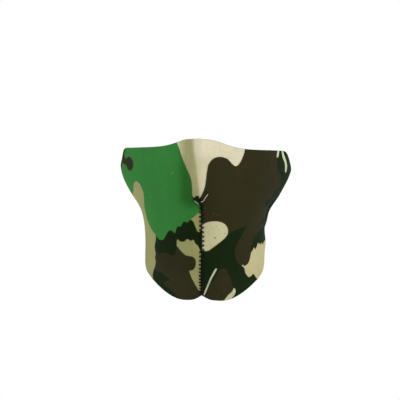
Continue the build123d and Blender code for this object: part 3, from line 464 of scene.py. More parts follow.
def laminate(prefix, th, lapped, free_end=False, slit=False, thin=1):
    """The three layers of one stretch of the blank, printed face, foam and lining."""
    made = {}
    for layer in ("print", "foam", "lining"):
        sel = np.arange(len(th))
        step = 1
        if layer != "print":
            step = 2
            mask = np.zeros(len(th), bool)
            mask[::2] = True
            mask[-1] = mask[0] = True
            mask[(np.abs(th) < 1.6)] = True
            if free_end:
                mask[-14:] = True
                mask[:14] = True
            sel = np.nonzero(mask)[0]
        t = th[sel]
        lo, hi = strap_limits(t, free_end)
        z = rows_for(lo, hi, step)
        T = T0 = np.repeat(t[:, None], z.shape[1], 1)
        if slit:
            T = T + seam_lean(z) * np.exp(-((T / 6.0) ** 2))
        p, n, u, v = surface(T, z, lapped)
        slope = np.abs(v[..., 2])
        d_edge = np.minimum(z - lo[:, None], hi[:, None] - z) / np.maximum(slope, 0.3)
        if free_end:
            d_end = (STRAP_END - np.abs(T)) * math.radians(1) * 83.0
            cz = np.minimum(z - z_bottom(T), z_top(T) - z)
            corner = (d_end < CORNER_R) & (cz < CORNER_R)
            rad = CORNER_R - np.hypot(CORNER_R - d_end, CORNER_R - cz)
            d_edge = np.where(corner, np.minimum(rad, d_edge + 5), np.minimum(d_edge, d_end))
            d_edge = np.maximum(d_edge, 0)
        roll = np.clip(1 - d_edge / 1.0, 0, 1) ** 2
        top_depth = 0.34 * roll
        low_depth = TOTAL - 0.26 * roll
        groove = np.zeros_like(z)
        if slit:
            x = np.abs(p[..., 0] - np.hypot(p[..., 0], p[..., 1]) * np.sin(np.radians(seam_lean(z))))
            below = np.clip((DART_TOP_Z + 0.5 - z) / 3.0, 0, 1)
            groove = np.clip(1 - x / 1.15, 0, 1) ** 2 * below
            top_depth = top_depth + 0.62 * groove
            low_depth = low_depth - 0.30 * groove
            # the stitching draws the cloth in a little on both sides
            top_depth = top_depth + 0.16 * np.exp(-((x - 2.3) / 0.8) ** 2) * below
            # the bar tack gathers the cloth
            gather = np.exp(-(((p[..., 0] + 2.6) / 3.2) ** 2 + ((z + 30.5) / 2.6) ** 2))
            top_depth = top_depth + 0.35 * gather
        stack = {"print": (0.0, JERSEY), "foam": (JERSEY + GLUE, JERSEY + GLUE + CORE), "lining": (TOTAL - LINING, TOTAL)}[layer]
        span = (low_depth - top_depth) / TOTAL
        if layer == "print":
            a, b = top_depth, top_depth + JERSEY
        elif layer == "lining":
            a, b = low_depth - LINING, low_depth
        else:
            a, b = top_depth + JERSEY + GLUE, low_depth - LINING - GLUE
        keep = np.ones((len(t) - 1, z.shape[1] - 1), bool)
        if slit and layer != "foam":
            k = int(np.searchsorted(t, 0.0))  # first column right of the slit
            zc = 0.5 * (z[k, :-1] + z[k, 1:])
            keep[k - 1] = zc > DART_TOP_Z
        ob, used = closed_sheet(f"{prefix}_{layer}_{'sheet' if layer == 'foam' else 'cloth'}", p - n * a[..., None], p - n * b[..., None], keep)
        sharp_edges(ob)
        arc_u = np.stack([T * math.radians(1) * 88.0, z / np.maximum(slope, 0.35), 0 * z], -1)
        scatter_vec(ob, used, "cloth", arc_u)
        scatter(ob, used, "groove", np.clip(groove, 0, 1))
        scatter(ob, used, "rim", np.clip(1 - d_edge / 0.9, 0, 1))
        if layer == "print":
            fields = camo(T.ravel(), z.ravel(), T0.ravel())
            for c in CLASSES:
                scatter(ob, used, "print_" + c, fields[c])
            # painted shade: the print darkens and turns olive down one side of the nose, the side turned away from the
            # key light
            x = p[..., 0]
            turn = -4.5 - 0.131 * (z + 3.2)
            painted_nose_shade = ramp(turn - x, -2.2, 2.2) * (1 - 0.75 * ramp(-x, 13, 24)) * (1 - ramp(-x, 24, 34)) * ramp(z, -44, -27)
            # and a lighter painted shade all over its front below the bridge
            nose_front_shade = np.exp(-((x - 1.0) / 13.0) ** 4) * ramp(-z, -12, 2) * (1 - 0.5 * ramp(-z, 30, 45))
            scatter(ob, used, "painted_nose_shade", np.clip(painted_nose_shade + 0.40 * nose_front_shade, 0, 1))
        made[layer] = ob
    return made


def columns(a, b, step, extra=()):
    """Angles from a to b about step mm apart."""
    n = max(2, int(abs(b - a) * math.radians(1) * 80.0 / step))
    c = np.linspace(a, b, n + 1)
    if len(extra):
        extra = np.array(extra)
        c = np.concatenate([c[np.abs(c[:, None] - extra[None]).min(1) > 0.25], extra])
    return np.sort(c)


SEAM_X = np.array([0.02, 0.25, 0.55, 0.85, 1.2, 1.7, 2.3, 2.9, 3.6, 4.4]) / (math.radians(1) * 108.0)
near_seam = np.concatenate([-SEAM_X[::-1], SEAM_X])
front_cols = columns(-SIDE_FLEX, SIDE_FLEX, 0.95)
front_cols = np.sort(np.concatenate([front_cols[np.abs(front_cols) > SEAM_X[-1] + 0.3], near_seam]))
end_extra = STRAP_END - np.array([0.0, 0.06, 0.15, 0.28, 0.45, 0.7, 1.0, 1.4, 2.0, 2.7, 3.5, 4.4, 5.4, 6.5, 7.7])

front = laminate("mask_front", front_cols, False, slit=True)
left = laminate("left_wing", columns(SIDE_FLEX, TAB_FLEX, 1.0), True)
tab = laminate("left_tab", columns(TAB_FLEX, STRAP_END, 1.0, end_extra), True, free_end=True)
right = laminate("right_wing", columns(-STRAP_END, -SIDE_FLEX, 1.0, -end_extra), False, free_end=True)


# ------------------------------------------------------------------ threads
def frames(path):
    t = unit(np.gradient(path, axis=0))
    ref = np.array([0.0, 0.0, 1.0]) if abs(t[0][2]) < 0.9 else np.array([1.0, 0.0, 0.0])
    n = [unit(np.cross(t[0], ref))]
    for i in range(1, len(path)):
        v = n[-1] - t[i] * (n[-1] @ t[i])
        n.append(v / max(np.linalg.norm(v), 1e-9))
    n = np.array(n)
    return t, n, np.cross(t, n)


def tube(path, r, sides=7, taper=True):
    """Vertices and quads of a round thread along a path, its ends closed to small caps."""
    path = np.asarray(path, float)
    t, n, b = frames(path)
    rad = np.full(len(path), float(r))
    if taper:
        rad[0] = rad[-1] = r * 0.45
    ang = np.linspace(0, 2 * np.pi, sides, endpoint=False)
    ring = n[:, None] * np.cos(ang)[None, :, None] + b[:, None] * np.sin(ang)[None, :, None]
    verts = (path[:, None] + ring * rad[:, None, None]).reshape(-1, 3)
    quads = []
    for i in range(len(path) - 1):
        for k in range(sides):
            quads.append((i * sides + k, i * sides + (k + 1) % sides, (i + 1) * sides + (k + 1) % sides, (i + 1) * sides + k))
    base = len(verts)
    verts = np.concatenate([verts, path[:1] - t[:1] * r * 0.3, path[-1:] + t[-1:] * r * 0.3])
    tris = []
    for k in range(sides):
        tris.append((base, (k + 1) % sides, k))
        o = (len(path) - 1) * sides
        tris.append((base + 1, o + k, o + (k + 1) % sides))
    return verts, np.array(quads), np.array(tris)


def join(pieces):
    verts, quads, tris, base = [], [], [], 0
    for v, q, t in pieces:
        verts.append(v)
        quads.append(q + base)
        tris.append(t + base)
        base += len(v)
    return np.concatenate(verts), np.concatenate(quads), np.concatenate(tris)


def thread_object(name, pieces):
    return make_mesh(name, *join(pieces))


def seam_table():
    z = np.linspace(DART_TOP_Z, float(z_bottom(0.001)) + 0.6, 1200)
    p = outer(0 * z, z, False)
    s = np.concatenate([[0], np.cumsum(np.linalg.norm(np.diff(p, axis=0), axis=1))])
    return z, s


SEAM_Z, SEAM_S = seam_table()
SEAM_LEN = SEAM_S[-1]


def on_cloth(x, s, lift, wobble=0.0):
    """A point x mm beside the seam, s mm down it, lift mm off the cloth."""
    z = np.interp(s, SEAM_S, SEAM_Z)
    r = radius(0 * z, z)
    th = np.degrees(np.arcsin(np.clip(x / r, -1, 1))) + seam_lean(z)
    p, n, u, v = surface(th, z)
    below = np.clip((DART_TOP_Z + 0.5 - z) / 3.0, 0, 1)
    sink = 0.62 * np.clip(1 - np.abs(x) / 1.15, 0, 1) ** 2 * below + 0.16 * np.exp(-((np.abs(x) - 2.3) / 0.8) ** 2) * below
    return p + n * (lift - sink)[..., None]


def near_cloth(x, z, lift):
    x, z, lift = (np.asarray(q, float) for q in (x, z, lift))
    r = radius(0 * z, z)
    th = np.degrees(np.arcsin(np.clip(x / r, -1, 1)))
    p, n, u, v = surface(th, z)
    return p + n * lift[..., None]


rng = np.random.default_rng(7)
PITCH, HALF_W, OFF_SEAM = 3.9, 2.4, 0.2


def zigzag(sign_depth, radius_mm):
    """One thread working from side to side down the seam, dipping into the cloth at each needle hole."""
    n = int((SEAM_LEN - 3.0) / PITCH * 2)
    start = 1.6
    holes = []
    for i in range(n + 1):
        side = -1 if i % 2 == 0 else 1
        holes.append((side * HALF_W + rng.normal(0, 0.10) + OFF_SEAM, start + i * PITCH / 2 + rng.normal(0, 0.09)))
    strands = []
    for (x0, s0), (x1, s1) in zip(holes, holes[1:]):
        t = np.linspace(0, 1, 11)
        x = x0 + (x1 - x0) * t
        s = s0 + (s1 - s0) * t
        hump = np.sin(np.pi * t) ** 0.45
        if sign_depth > 0:
            # tight over the groove
            lift = -0.30 + (0.30 + radius_mm * 1.05 + 0.10) * hump
            # stay above the groove floor
            z = np.interp(s, SEAM_S, SEAM_Z)
            below = np.clip((DART_TOP_Z + 0.5 - z) / 3.0, 0, 1)
            fill = 0.62 * np.clip(1 - np.abs(x) / 1.15, 0, 1) ** 2 * below * 0.62
            p = on_cloth(x, s, lift + fill)
        else:
            lift = -(TOTAL - 0.1) - (0.1 + radius_mm * 1.05) * hump - 0.25 * hump
            p = on_cloth(x, s, lift)
        strands.append(tube(p, radius_mm))
    return strands


seam_thread = thread_object("seam_zigzag_thread", zigzag(1, 0.42))
inner_thread = thread_object("seam_zigzag_inside", zigzag(-1, 0.24))

# bar tack at the head of the dart: satin stitches laid across a barbed wedge
UPPER = np.array([(-6.3, -31.0), (-3.5, -27.6), (-1.2, -27.9), (-1.9, -30.3), (-0.3, -32.5)])
LOWER = np.array([(-6.1, -31.3), (-4.4, -31.6), (-3.0, -32.3), (-1.7, -33.5), (-0.2, -33.1)])
tack = []
for i in range(17):
    f = i / 16 * 4
    k = min(3, int(f))
    a = UPPER[k] + (UPPER[k + 1] - UPPER[k]) * (f - k)
    b = LOWER[k] + (LOWER[k + 1] - LOWER[k]) * (f - k)
    t = np.linspace(0, 1, 10)
    hump = np.sin(np.pi * t) ** 0.4
    x, z = a[0] + (b[0] - a[0]) * t, a[1] + (b[1] - a[1]) * t
    gather = 0.35 * np.exp(-(((x + 2.6) / 3.2) ** 2 + ((z + 30.5) / 2.6) ** 2))
    tack.append(tube(near_cloth(x, z, -0.45 + 0.95 * hump - gather + (0.10 if i % 2 else 0.0)), 0.36))
for i in range(4):
    f = i / 3
    t = np.linspace(0, 1, 8)
    hump = np.sin(np.pi * t) ** 0.4
    z = -33.4 - 0.75 * i
    tack.append(tube(near_cloth(-1.9 + 0.2 * i + (3.2 - 0.1 * i) * t, z - 0.5 * t, -0.3 + 0.72 * hump), 0.30))
top_tack = thread_object("seam_top_tack", tack)


def curve(points, n=40):
    p = np.array(points, float)
    k = np.linspace(0, 1, len(p))
    q = np.linspace(0, 1, n)
    return spline_at(k, p, q)


tails = []
for pts in (
    [(0.5, -32.9, 0.15), (1.5, -32.8, 0.6), (2.7, -31.9, 0.75), (3.7, -30.3, 0.7), (4.7, -28.7, 0.65), (6.3, -26.6, 0.75)],
    [(-4.8, -31.9, 0.3), (-3.6, -33.2, 0.55), (-2.2, -34.2, 0.5), (-0.8, -34.9, 0.35)],
):
    c = curve(pts)
    tails.append(tube(near_cloth(c[:, 0], c[:, 1], c[:, 2]), 0.36 if len(tails) == 0 else 0.24))
tail_threads = thread_object("seam_thread_tails_loose", tails)

tack = []
for i in range(7):
    t = np.linspace(0, 1, 9)
    hump = np.sin(np.pi * t) ** 0.4
    s = SEAM_LEN - 0.5 - i * 0.62
    half = 1.9 - 0.08 * i
    x = -half + 2 * half * t
    tack.append(tube(on_cloth(x, s + 0.25 * (t - 0.5), -0.3 + 0.78 * hump + 0.5 * np.clip(1 - np.abs(x) / 1.15, 0, 1) ** 2), 0.31))
bottom_tack = thread_object("seam_bottom_tack", tack)

# ------------------------------------------------------------------ hook and loop
TAPE_LO, TAPE_HI = -58.0 + 5.0, -8.0 - 5.0
HOOK_FROM, HOOK_TO = 165.0, 193.5
LOOP_FROM, LOOP_TO = -(360 - 165.5), -(360 - 207.0)
HOOK_BASE = (TOTAL + 0.03, TOTAL + 0.58)
LOOP_BASE = (-0.64, -0.09)


def tape(name, a, b, depths, lapped):
    c = columns(min(a, b), max(a, b), 0.9)
    z = np.linspace(TAPE_LO, TAPE_HI, 48)
    T, Z = np.meshgrid(c, z, indexing="ij")
    p, n, u, v = surface(T, Z, lapped)
    d = np.minimum(np.minimum(Z - TAPE_LO, TAPE_HI - Z), np.minimum(T - c[0], c[-1] - T) * math.radians(1) * 83)
    puff = 0.10 * np.clip(d / 1.2, 0, 1)
    shallow, deep = min(depths), max(depths)
    if lapped:
        ob, used = closed_sheet(name, p - n * shallow, p - n * (deep - 0.10 + puff)[..., None])
    else:
        ob, used = closed_sheet(name, p - n * (shallow + 0.10 - puff)[..., None], p - n * deep)
    sharp_edges(ob)
    scatter_vec(ob, used, "cloth", np.stack([T * math.radians(1) * 83, Z, 0 * Z], -1))
    return ob


hook_base = tape("hook_tape_cloth", HOOK_FROM, HOOK_TO, HOOK_BASE, True)
loop_base = tape("loop_tape_cloth", LOOP_FROM, LOOP_TO, LOOP_BASE, False)

# hooks: a stem leaning over into a crook, in level rows, alternate rows facing up and down
pieces_h = []
row_z = np.arange(TAPE_LO + 1.8, TAPE_HI - 1.6, 1.35)
for r, z in enumerate(row_z):
    for a in np.arange(HOOK_FROM + 1.0, HOOK_TO - 0.9, 1.15):
        aa = a + (0.5 if r % 2 else 0.0)
        p, n, u, v = surface(np.array(aa), np.array(z), True)
        up = v if r % 2 else -v
        base = p - n * (HOOK_BASE[1] - 0.02)
        prof = [(0, 0), (0.0, 0.32), (0.10, 0.56), (0.30, 0.66), (0.48, 0.56)]
        path = np.array([base + up * x - n * h for x, h in prof])
        pieces_h.append(tube(path, 0.13, 4))
hook_field = thread_object("hook_field", pieces_h)

# loop nap: a low felt body with loose loops standing in it
c = columns(LOOP_FROM + 0.9, LOOP_TO - 0.9, 0.6)
z = np.linspace(TAPE_LO + 1.5, TAPE_HI - 1.5, 64)
T, Z = np.meshgrid(c, z, indexing="ij")
p, n, u, v = surface(T, Z, False)
edge = np.minimum(np.minimum(Z - z[0], z[-1] - Z), np.minimum(T - c[0], c[-1] - T) * math.radians(1) * 83)
height = 0.42 * np.clip(edge / 1.4, 0, 1) ** 0.5 + rng.normal(0, 0.06, T.shape) * (edge > 0.3)
loop_nap, used = closed_sheet("loop_nap_felt", p + n * (0.66 + height)[..., None], p + n * 0.655)
scatter_vec(loop_nap, used, "cloth", np.stack([T * math.radians(1) * 83, Z, 0 * Z], -1))
pieces_l = []
count = 2600
for _ in range(count):
    a = rng.uniform(c[0] + 0.6, c[-1] - 0.6)
    zz = rng.uniform(z[0] + 0.8, z[-1] - 0.8)
    p, n, u, v = surface(np.array(a), np.array(zz), False)
    ang = rng.uniform(0, 2 * math.pi)
    w = rng.uniform(0.25, 0.5)
    h = rng.uniform(0.15, 0.42)
    d = u * math.cos(ang) + v * math.sin(ang)
    base = p + n * 0.95
    t = np.linspace(0, math.pi, 6)
    path = np.array([base - d * w * math.cos(q) + n * (h * math.sin(q)) for q in t])
    pieces_l.append(tube(path, 0.055, 3, False))
loop_loops = thread_object("loop_nap_loops", pieces_l)


def lockstitch(name, a, b, inset, lapped, depths_signs):
    """Stitches round a tape, on every face they show on: (surface depth, direction out of it)."""
    arc = math.radians(1) * (83.0 if not lapped else 87.0)
    a, b = min(a, b), max(a, b)
    a0, a1 = a + inset / arc, b - inset / arc
    lo, hi = TAPE_LO + inset, TAPE_HI - inset
    corners = [(a0, lo), (a1, lo), (a1, hi), (a0, hi), (a0, lo)]
    out = []
    for (aa, za), (ab, zb) in zip(corners, corners[1:]):
        run = abs(ab - aa) * arc + abs(zb - za)
        n = max(1, int(round(run / 3.4)))
        for i in range(n):
            s0, s1 = (i + 0.07) / n, (i + 0.93) / n
            t = np.linspace(s0, s1, 8)
            hump = np.sin(np.pi * np.linspace(0, 1, 8)) ** 0.4
            T, Z = aa + (ab - aa) * t, za + (zb - za) * t
            p, nn, u, v = surface(T, Z, lapped)
            for depth, sgn in depths_signs:
                off = -depth + sgn * (-0.22 + 0.42 * hump)
                out.append(tube(p + nn * off[:, None], 0.2, 6))
    return thread_object(name, out)


hook_stitch = lockstitch("hook_tape_lockstitch", HOOK_FROM, HOOK_TO, 1.6, True, [(0.0, 1), (HOOK_BASE[1], -1)])
loop_stitch = lockstitch("loop_tape_lockstitch", LOOP_FROM, LOOP_TO, 1.0, False, [(TOTAL, -1), (LOOP_BASE[0], 1)])


# ------------------------------------------------------------------ materials
def srgb(r, g, b):
    return tuple(((x / 255) / 12.92 if x <= 10 else ((x / 255 + 0.055) / 1.055) ** 2.4) for x in (r, g, b)) + (1.0,)


class Mat:
    def __init__(self, name, rough, spec=0.3, sheen=0.0, sheen_rough=0.5, sheen_tint=(1, 1, 1, 1)):
        self.m = bpy.data.materials.new(name)
        self.m.use_nodes = True
        self.t = self.m.node_tree
        self.t.nodes.clear()
        self.out = self.t.nodes.new("ShaderNodeOutputMaterial")
        self.b = self.t.nodes.new("ShaderNodeBsdfPrincipled")
        self.t.links.new(self.b.outputs[0], self.out.inputs[0])
        self.b.inputs["Roughness"].default_value = rough
        self.b.inputs["Specular IOR Level"].default_value = spec
        self.b.inputs["Sheen Weight"].default_value = sheen
        self.b.inputs["Sheen Roughness"].default_value = sheen_rough
        self.b.inputs["Sheen Tint"].default_value = sheen_tint

    def node(self, kind, **kw):
        n = self.t.nodes.new(kind)
        for k, v in kw.items():
            setattr(n, k, v)
        return n

    def link(self, a, b):
        self.t.links.new(a, b)

    def math(self, op, a, b=None, c=None, clamp=False):
        n = self.node("ShaderNodeMath", operation=op, use_clamp=clamp)
        for i, v in enumerate((a, b, c)):
            if v is None:
                continue
            if isinstance(v, (int, float)):
                n.inputs[i].default_value = v
            else:
                self.link(v, n.inputs[i])
        return n.outputs[0]

    def attr(self, name):
        return self.node("ShaderNodeAttribute", attribute_name=name)

    def noise(self, vec, scale, detail=2.0, rough=0.5):
        n = self.node("ShaderNodeTexNoise")
        n.inputs["Scale"].default_value = scale
        n.inputs["Detail"].default_value = detail
        n.inputs["Roughness"].default_value = rough
        if vec is not None:
            self.link(vec, n.inputs["Vector"])
        return n.outputs["Fac"]

    def smooth(self, v, lo, hi):
        n = self.node("ShaderNodeMapRange", interpolation_type="SMOOTHSTEP")
        n.inputs["From Min"].default_value = lo
        n.inputs["From Max"].default_value = hi
        self.link(v, n.inputs["Value"])
        return n.outputs["Result"]

    def mix(self, fac, a, b, blend="MIX"):
        n = self.node("ShaderNodeMix", data_type="RGBA", blend_type=blend)
        for sock, v in ((n.inputs[0], fac), (n.inputs[6], a), (n.inputs[7], b)):
            if isinstance(v, (int, float)):
                sock.default_value = v
            elif isinstance(v, tuple):
                sock.default_value = v
            else:
                self.link(v, sock)
        return n.outputs[2]

    def bump(self, height, strength, distance):
        n = self.node("ShaderNodeBump")
        n.inputs["Strength"].default_value = strength
        n.inputs["Distance"].default_value = distance
        self.link(height, n.inputs["Height"])
        self.link(n.outputs[0], self.b.inputs["Normal"])
        return n

    def knit(self, wale=0.62, course=0.50):
        """Height of a jersey knit: columns of V stitches."""
        sep = self.node("ShaderNodeSeparateXYZ")
        self.link(self.attr("cloth").outputs["Vector"], sep.inputs[0])
        u = self.math("DIVIDE", sep.outputs[0], wale)
        v = self.math("DIVIDE", sep.outputs[1], course)
        fu = self.math("ABSOLUTE", self.math("SUBTRACT", self.math("FRACT", u), 0.5))
        lean = self.math("ADD", v, self.math("MULTIPLY", fu, 1.3))
        fv = self.math("ABSOLUTE", self.math("SUBTRACT", self.math("FRACT", lean), 0.5))
        leg = self.math("SUBTRACT", 1.0, self.math("MULTIPLY", self.math("ABSOLUTE", self.math("SUBTRACT", fu, 0.25)), 4.0))
        return self.math("ADD", self.math("MULTIPLY", self.math("SUBTRACT", 0.5, fv), 0.9), self.math("MULTIPLY", leg, 0.7))


PALETTE = {
    "B": srgb(44, 41, 21), "G": srgb(51, 122, 54), "K": srgb(17, 32, 8), "N": srgb(203, 195, 167), "O": srgb(187, 183, 144),
    "T": srgb(190, 181, 137), "L": srgb(149, 148, 97), "W": srgb(196, 202, 168),
}


def print_material():
    m = Mat("printed jersey", 0.9, 0.06, 0.015, 0.5, (0.7, 0.9, 0.7, 1))
    cloth = m.attr("cloth").outputs["Vector"]
    blur = m.noise(cloth, 1.1, 3.0, 0.6)
    wob = m.math("MULTIPLY", m.math("SUBTRACT", blur, 0.5), 0.9)
    col = PALETTE["B"]
    halo = None
    for c in CLASSES:
        f = m.math("ADD", m.attr("print_" + c).outputs["Fac"], wob)
        mask = m.smooth(f, 0.34, -0.34)
        col = m.mix(mask, col, PALETTE[c])
    slow = m.noise(cloth, 0.045, 2.0)
    grain = m.noise(cloth, 1.3, 2.0, 0.7)
    fleck = m.noise(cloth, 0.42, 3.0, 0.7)
    shade = m.math("ADD", 0.62, m.math("MULTIPLY", slow, 0.26))
    shade = m.math("ADD", shade, m.math("MULTIPLY", grain, 0.22))
    shade = m.math("ADD", shade, m.math("MULTIPLY", fleck, 0.30))
    hsv = m.node("ShaderNodeHueSaturation")
    m.link(col, hsv.inputs["Color"])
    m.link(shade, hsv.inputs["Value"])
    # pale pinholes where the ink missed the yarn
    pin = m.smooth(m.noise(cloth, 0.62, 1.0, 0.5), 0.80, 0.84)
    col = m.mix(m.math("MULTIPLY", pin, 0.5), hsv.outputs[0], srgb(120, 140, 100))
    # painted shade on the nose, multiplied into the print colour as a dark olive
    nose_shade_tint = m.mix(m.attr("painted_nose_shade").outputs["Fac"], (1, 1, 1, 1), (0.50, 0.54, 0.36, 1))
    col = m.mix(1.0, col, nose_shade_tint, "MULTIPLY")
    # the cut edge turns in and darkens
    rim = m.smooth(m.attr("rim").outputs["Fac"], 0.0, 1.0)
    col = m.mix(m.math("MULTIPLY", rim, 0.55), col, srgb(26, 32, 20))
    # dark foam showing in the seam groove
    g = m.smooth(m.attr("groove").outputs["Fac"], 0.25, 0.7)
    col = m.mix(g, col, srgb(12, 15, 8))
    m.link(col, m.b.inputs["Base Color"])
    m.bump(m.knit(), 0.22, 0.00012)
    return m.m


def plain_knit(name, color, rough=0.9, strength=0.35, sheen=0.15):
    m = Mat(name, rough, 0.25, sheen)
    cloth = m.attr("cloth").outputs["Vector"]
    g = m.noise(cloth, 2.2, 2.0, 0.6)
    col = m.mix(m.math("MULTIPLY", g, 0.6), color, tuple(x * 1.9 for x in color[:3]) + (1.0,))
    m.link(col, m.b.inputs["Base Color"])
    m.bump(m.knit(), strength, 0.00014)
    return m.m


def foam_material():
    m = Mat("chloroprene foam", 0.75, 0.35)
    cloth = m.attr("cloth").outputs["Vector"]
    vor = m.node("ShaderNodeTexVoronoi")
    vor.inputs["Scale"].default_value = 4.0
    m.link(cloth, vor.inputs["Vector"])
    col = m.mix(vor.outputs["Distance"], srgb(20, 20, 20), srgb(38, 38, 37))
    m.link(col, m.b.inputs["Base Color"])
    m.bump(vor.outputs["Distance"], 0.4, 0.0001)
    return m.m


def thread_material(name, color, light):
    m = Mat(name, 0.7, 0.12, 0.0)
    tc = m.node("ShaderNodeTexCoord")
    wave = m.node("ShaderNodeTexWave", wave_type="BANDS", bands_direction="DIAGONAL")
    wave.inputs["Scale"].default_value = 900.0
    wave.inputs["Distortion"].default_value = 1.5
    m.link(tc.outputs["Object"], wave.inputs["Vector"])
    col = m.mix(wave.outputs["Fac"], color, light)
    m.link(col, m.b.inputs["Base Color"])
    m.bump(wave.outputs["Fac"], 0.5, 0.0001)
    return m.m


def woven_material(name, color):
    m = Mat(name, 0.8, 0.3, 0.15)
    sep = m.node("ShaderNodeSeparateXYZ")
    m.link(m.attr("cloth").outputs["Vector"], sep.inputs[0])
    a = m.math("SINE", m.math("MULTIPLY", sep.outputs[0], 2 * math.pi / 0.5))
    b = m.math("SINE", m.math("MULTIPLY", sep.outputs[1], 2 * math.pi / 0.42))
    h = m.math("MULTIPLY", a, b)
    col = m.mix(m.math("MULTIPLY", m.math("ADD", h, 1.0), 0.5), color, tuple(x * 1.8 for x in color[:3]) + (1.0,))
    m.link(col, m.b.inputs["Base Color"])
    m.bump(h, 0.4, 0.00012)
    return m.m


def fuzz_material(name, color):
    m = Mat(name, 0.9, 0.2, 0.5, 0.6, (0.6, 0.6, 0.6, 1))
    tc = m.node("ShaderNodeTexCoord")
    g = m.noise(tc.outputs["Object"], 2500.0, 3.0, 0.6)
    col = m.mix(g, color, tuple(x * 2.4 for x in color[:3]) + (1.0,))
    m.link(col, m.b.inputs["Base Color"])
    m.bump(g, 0.6, 0.0002)
    return m.m


M_PRINT = print_material()
M_FOAM = foam_material()
M_LINING = plain_knit("black jersey lining", srgb(30, 31, 32))
M_DARK = thread_material("dark seam thread", srgb(8, 12, 5), srgb(19, 25, 13))
M_LIGHT = thread_material("light seam thread", srgb(150, 148, 122), srgb(184, 180, 154))
M_BLACK = thread_material("black tape thread", srgb(14, 14, 14), srgb(44, 44, 44))
M_TAPE = woven_material("black woven tape", srgb(26, 26, 27))
M_FUZZ = fuzz_material("black loop nap", srgb(22, 22, 23))


def hook_material():
    m = Mat("moulded nylon hooks", 0.4, 0.5)
    tc = m.node("ShaderNodeTexCoord")
    g = m.noise(tc.outputs["Object"], 600.0)
    m.link(m.mix(g, srgb(24, 24, 25), srgb(52, 52, 54)), m.b.inputs["Base Color"])
    return m.m


M_HOOK = hook_material()


def dress(ob, mat):
    ob.data.materials.clear()
    ob.data.materials.append(mat)


# ------------------------------------------------------------------ what each piece stands for, and what the front, its threads and the tapes move with
def flex(angle, lapped, reach, sign):
    """Start and end points of a bend across a flex line, in metres."""
    zt, zb = float(z_top(angle)), float(z_bottom(angle))
    a = outer(np.array(angle), np.array(zb), lapped)
    b = outer(np.array(angle), np.array(zt), lapped)
    mid = (a + b) / 2
    d = unit(b - a)
    _, n, u, _ = surface(np.array(angle), np.array((zt + zb) / 2), lapped)
    along = u * sign - d * float((u * sign) @ d)
    along = along / np.linalg.norm(along)
    start = mid - n * TOTAL / 2
    return tuple(start * MM), tuple((start + along * reach) * MM)


LAYERS = (("print", "face_jersey", M_PRINT, "printed_jersey"), ("foam", "foam_core", M_FOAM, "foam"), ("lining", "lining", M_LINING, "lining"))
for group, node_prefix in ((front, "front"), (left, "left_wing"), (tab, "left_tab"), (right, "right_wing")):
    for layer, node, mat, slot in LAYERS:
        ob = group[layer]
        dress(ob, mat)
        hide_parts(f"{node_prefix}_{node}")
for layer, *_ in LAYERS:
    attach(front[layer], "front")
    s, e = flex(SIDE_FLEX, True, 14.0, 1)
    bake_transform(left[layer])
    s, e = flex(TAB_FLEX, True, 8.0, 1)
    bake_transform(tab[layer])
    s, e = flex(-SIDE_FLEX, False, 14.0, -1)
    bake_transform(right[layer])

for ob, mat, slot, body, node in (
    (seam_thread, M_DARK, "dark_thread", "front", "centre_seam_zigzag"),
    (inner_thread, M_DARK, "dark_thread", "front", "centre_seam_inner_zigzag"),
    (top_tack, M_DARK, "dark_thread", "front", "seam_top_bar_tack"),
    (bottom_tack, M_DARK, "dark_thread", "front", "seam_bottom_bar_tack"),
    (tail_threads, M_LIGHT, "light_thread", "front", "seam_thread_tails"),
    (hook_base, M_TAPE, "tape_base", "left_tab", "hook_tape_base"),
    (hook_field, M_HOOK, "hooks", "left_tab", "hook_rows"),
    (hook_stitch, M_BLACK, "tape_thread", "left_tab", "hook_tape_stitching"),
    (loop_base, M_TAPE, "tape_base", "right_wing", "loop_tape_base"),
    (loop_nap, M_FUZZ, "loop_pile", "right_wing", "loop_pile"),
    (loop_loops, M_FUZZ, "loop_pile", "right_wing", "loop_pile"),
    (loop_stitch, M_BLACK, "tape_thread", "right_wing", "loop_tape_stitching"),
):
    dress(ob, mat)
    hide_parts(node)
    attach(ob, body)


def flat_area(ob):
    me = ob.data
    a = np.empty(len(me.polygons), np.float64)
    me.polygons.foreach_get("area", a)
    return float(a.sum()) / 2


FLAT = {"front": (0.330, 0.145), "left_wing": (0.070, 0.054), "left_tab": (0.062, 0.052), "right_wing": (0.124, 0.054)}
for group, name in ((front, "front"), (left, "left_wing"), (tab, "left_tab"), (right, "right_wing")):
    for layer in ("print", "lining"):
        ob = group[layer]
        w, l = FLAT[name]
        area = flat_area(ob)
        print("flat area", ob.name, round(area, 6), "box", round(w * l, 6), "share", round(area / (w * l), 3))

# ------------------------------------------------------------------ stage, light, camera
scene = bpy.context.scene
scene.view_settings.view_transform = "Standard"
scene.view_settings.look = "None"
scene.view_settings.exposure = 0.0
scene.view_settings.gamma = 1.0

floor_me = bpy.data.meshes.new("floor")
ring = [(1.1 * math.cos(2 * math.pi * k / 96), 1.1 * math.sin(2 * math.pi * k / 96), 0) for k in range(96)]
floor_me.from_pydata(ring, [], [tuple(range(96))])
floor = bpy.data.objects.new("floor", floor_me)
floor.location = (0, 0, -0.45)
scene.collection.objects.link(floor)
fm = Mat("pale floor", 1.0, 0.0)
fm.b.inputs["Base Color"].default_value = (0.95, 0.95, 0.95, 1)
floor_me.materials.append(fm.m)

AMBIENT = 0.30
world = bpy.data.worlds.new("studio")
scene.world = world
world.use_nodes = True
wt = world.node_tree
bg = wt.nodes["Background"]
bg.inputs[0].default_value = (1.0, 1.0, 1.0, 1)
bg.inputs[1].default_value = AMBIENT
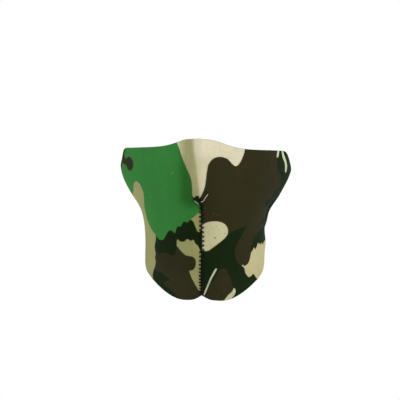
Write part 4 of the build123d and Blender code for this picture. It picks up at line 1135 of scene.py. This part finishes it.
# the backdrop itself is plain white
white = wt.nodes.new("ShaderNodeBackground")
white.inputs[0].default_value = (1.0, 1.0, 1.0, 1)
white.inputs[1].default_value = 1.0
path = wt.nodes.new("ShaderNodeLightPath")
blend = wt.nodes.new("ShaderNodeMixShader")
wt.links.new(path.outputs["Is Camera Ray"], blend.inputs[0])
wt.links.new(bg.outputs[0], blend.inputs[1])
wt.links.new(white.outputs[0], blend.inputs[2])
wt.links.new(blend.outputs[0], wt.nodes["World Output"].inputs["Surface"])


def area_light(name, loc, target, size, power, color=(1, 1, 1)):
    d = bpy.data.lights.new(name, "AREA")
    d.shape = "DISK"
    d.size = size
    d.energy = power
    d.color = color
    o = bpy.data.objects.new(name, d)
    o.location = loc
    from mathutils import Vector
    o.rotation_mode = "QUATERNION"
    o.rotation_quaternion = (Vector(target) - Vector(loc)).to_track_quat("-Z", "Y")
    scene.collection.objects.link(o)
    return o


area_light("key", (0.75, -0.95, 0.75), (0, -0.05, -0.04), 0.55, 12.5)
area_light("fill", (-1.1, -0.7, 0.15), (0, -0.05, -0.04), 0.9, 3.0)
area_light("left side", (-1.35, 0.25, 0.12), (-0.05, -0.03, -0.03), 0.6, 4.0)
area_light("overhead", (0.0, 0.15, 1.25), (0, 0.0, -0.45), 1.4, 16.0)
area_light("rear", (0.3, 1.2, 0.45), (0, 0.0, -0.04), 0.8, 6.0)

# the viewpoint: level, a little to the wearer's left
AZ, ROLL, DIST = math.radians(2.7), math.radians(0.3), 1.250
cam_data = bpy.data.cameras.new("camera")
cam = bpy.data.objects.new("camera", cam_data)
scene.collection.objects.link(cam)
scene.camera = cam
cam_data.sensor_width = 36.0
cam_data.lens = 36.0 * (1250 / 0.95) / 400
cam_data.clip_start, cam_data.clip_end = 0.05, 50
rx, ry = math.cos(AZ), math.sin(AZ)
fx, fy = -math.sin(AZ), math.cos(AZ)
cam.location = (-0.0057 * rx - DIST * fx, -0.0057 * ry - DIST * fy, -0.03135)
cam.rotation_mode = "XYZ"
from mathutils import Matrix
look = Matrix(((rx, 0, -fx), (ry, 0, -fy), (0, 1, 0)))
cam.rotation_mode = "QUATERNION"
cam.rotation_quaternion = (look @ Matrix.Rotation(ROLL, 3, "Z")).to_quaternion()
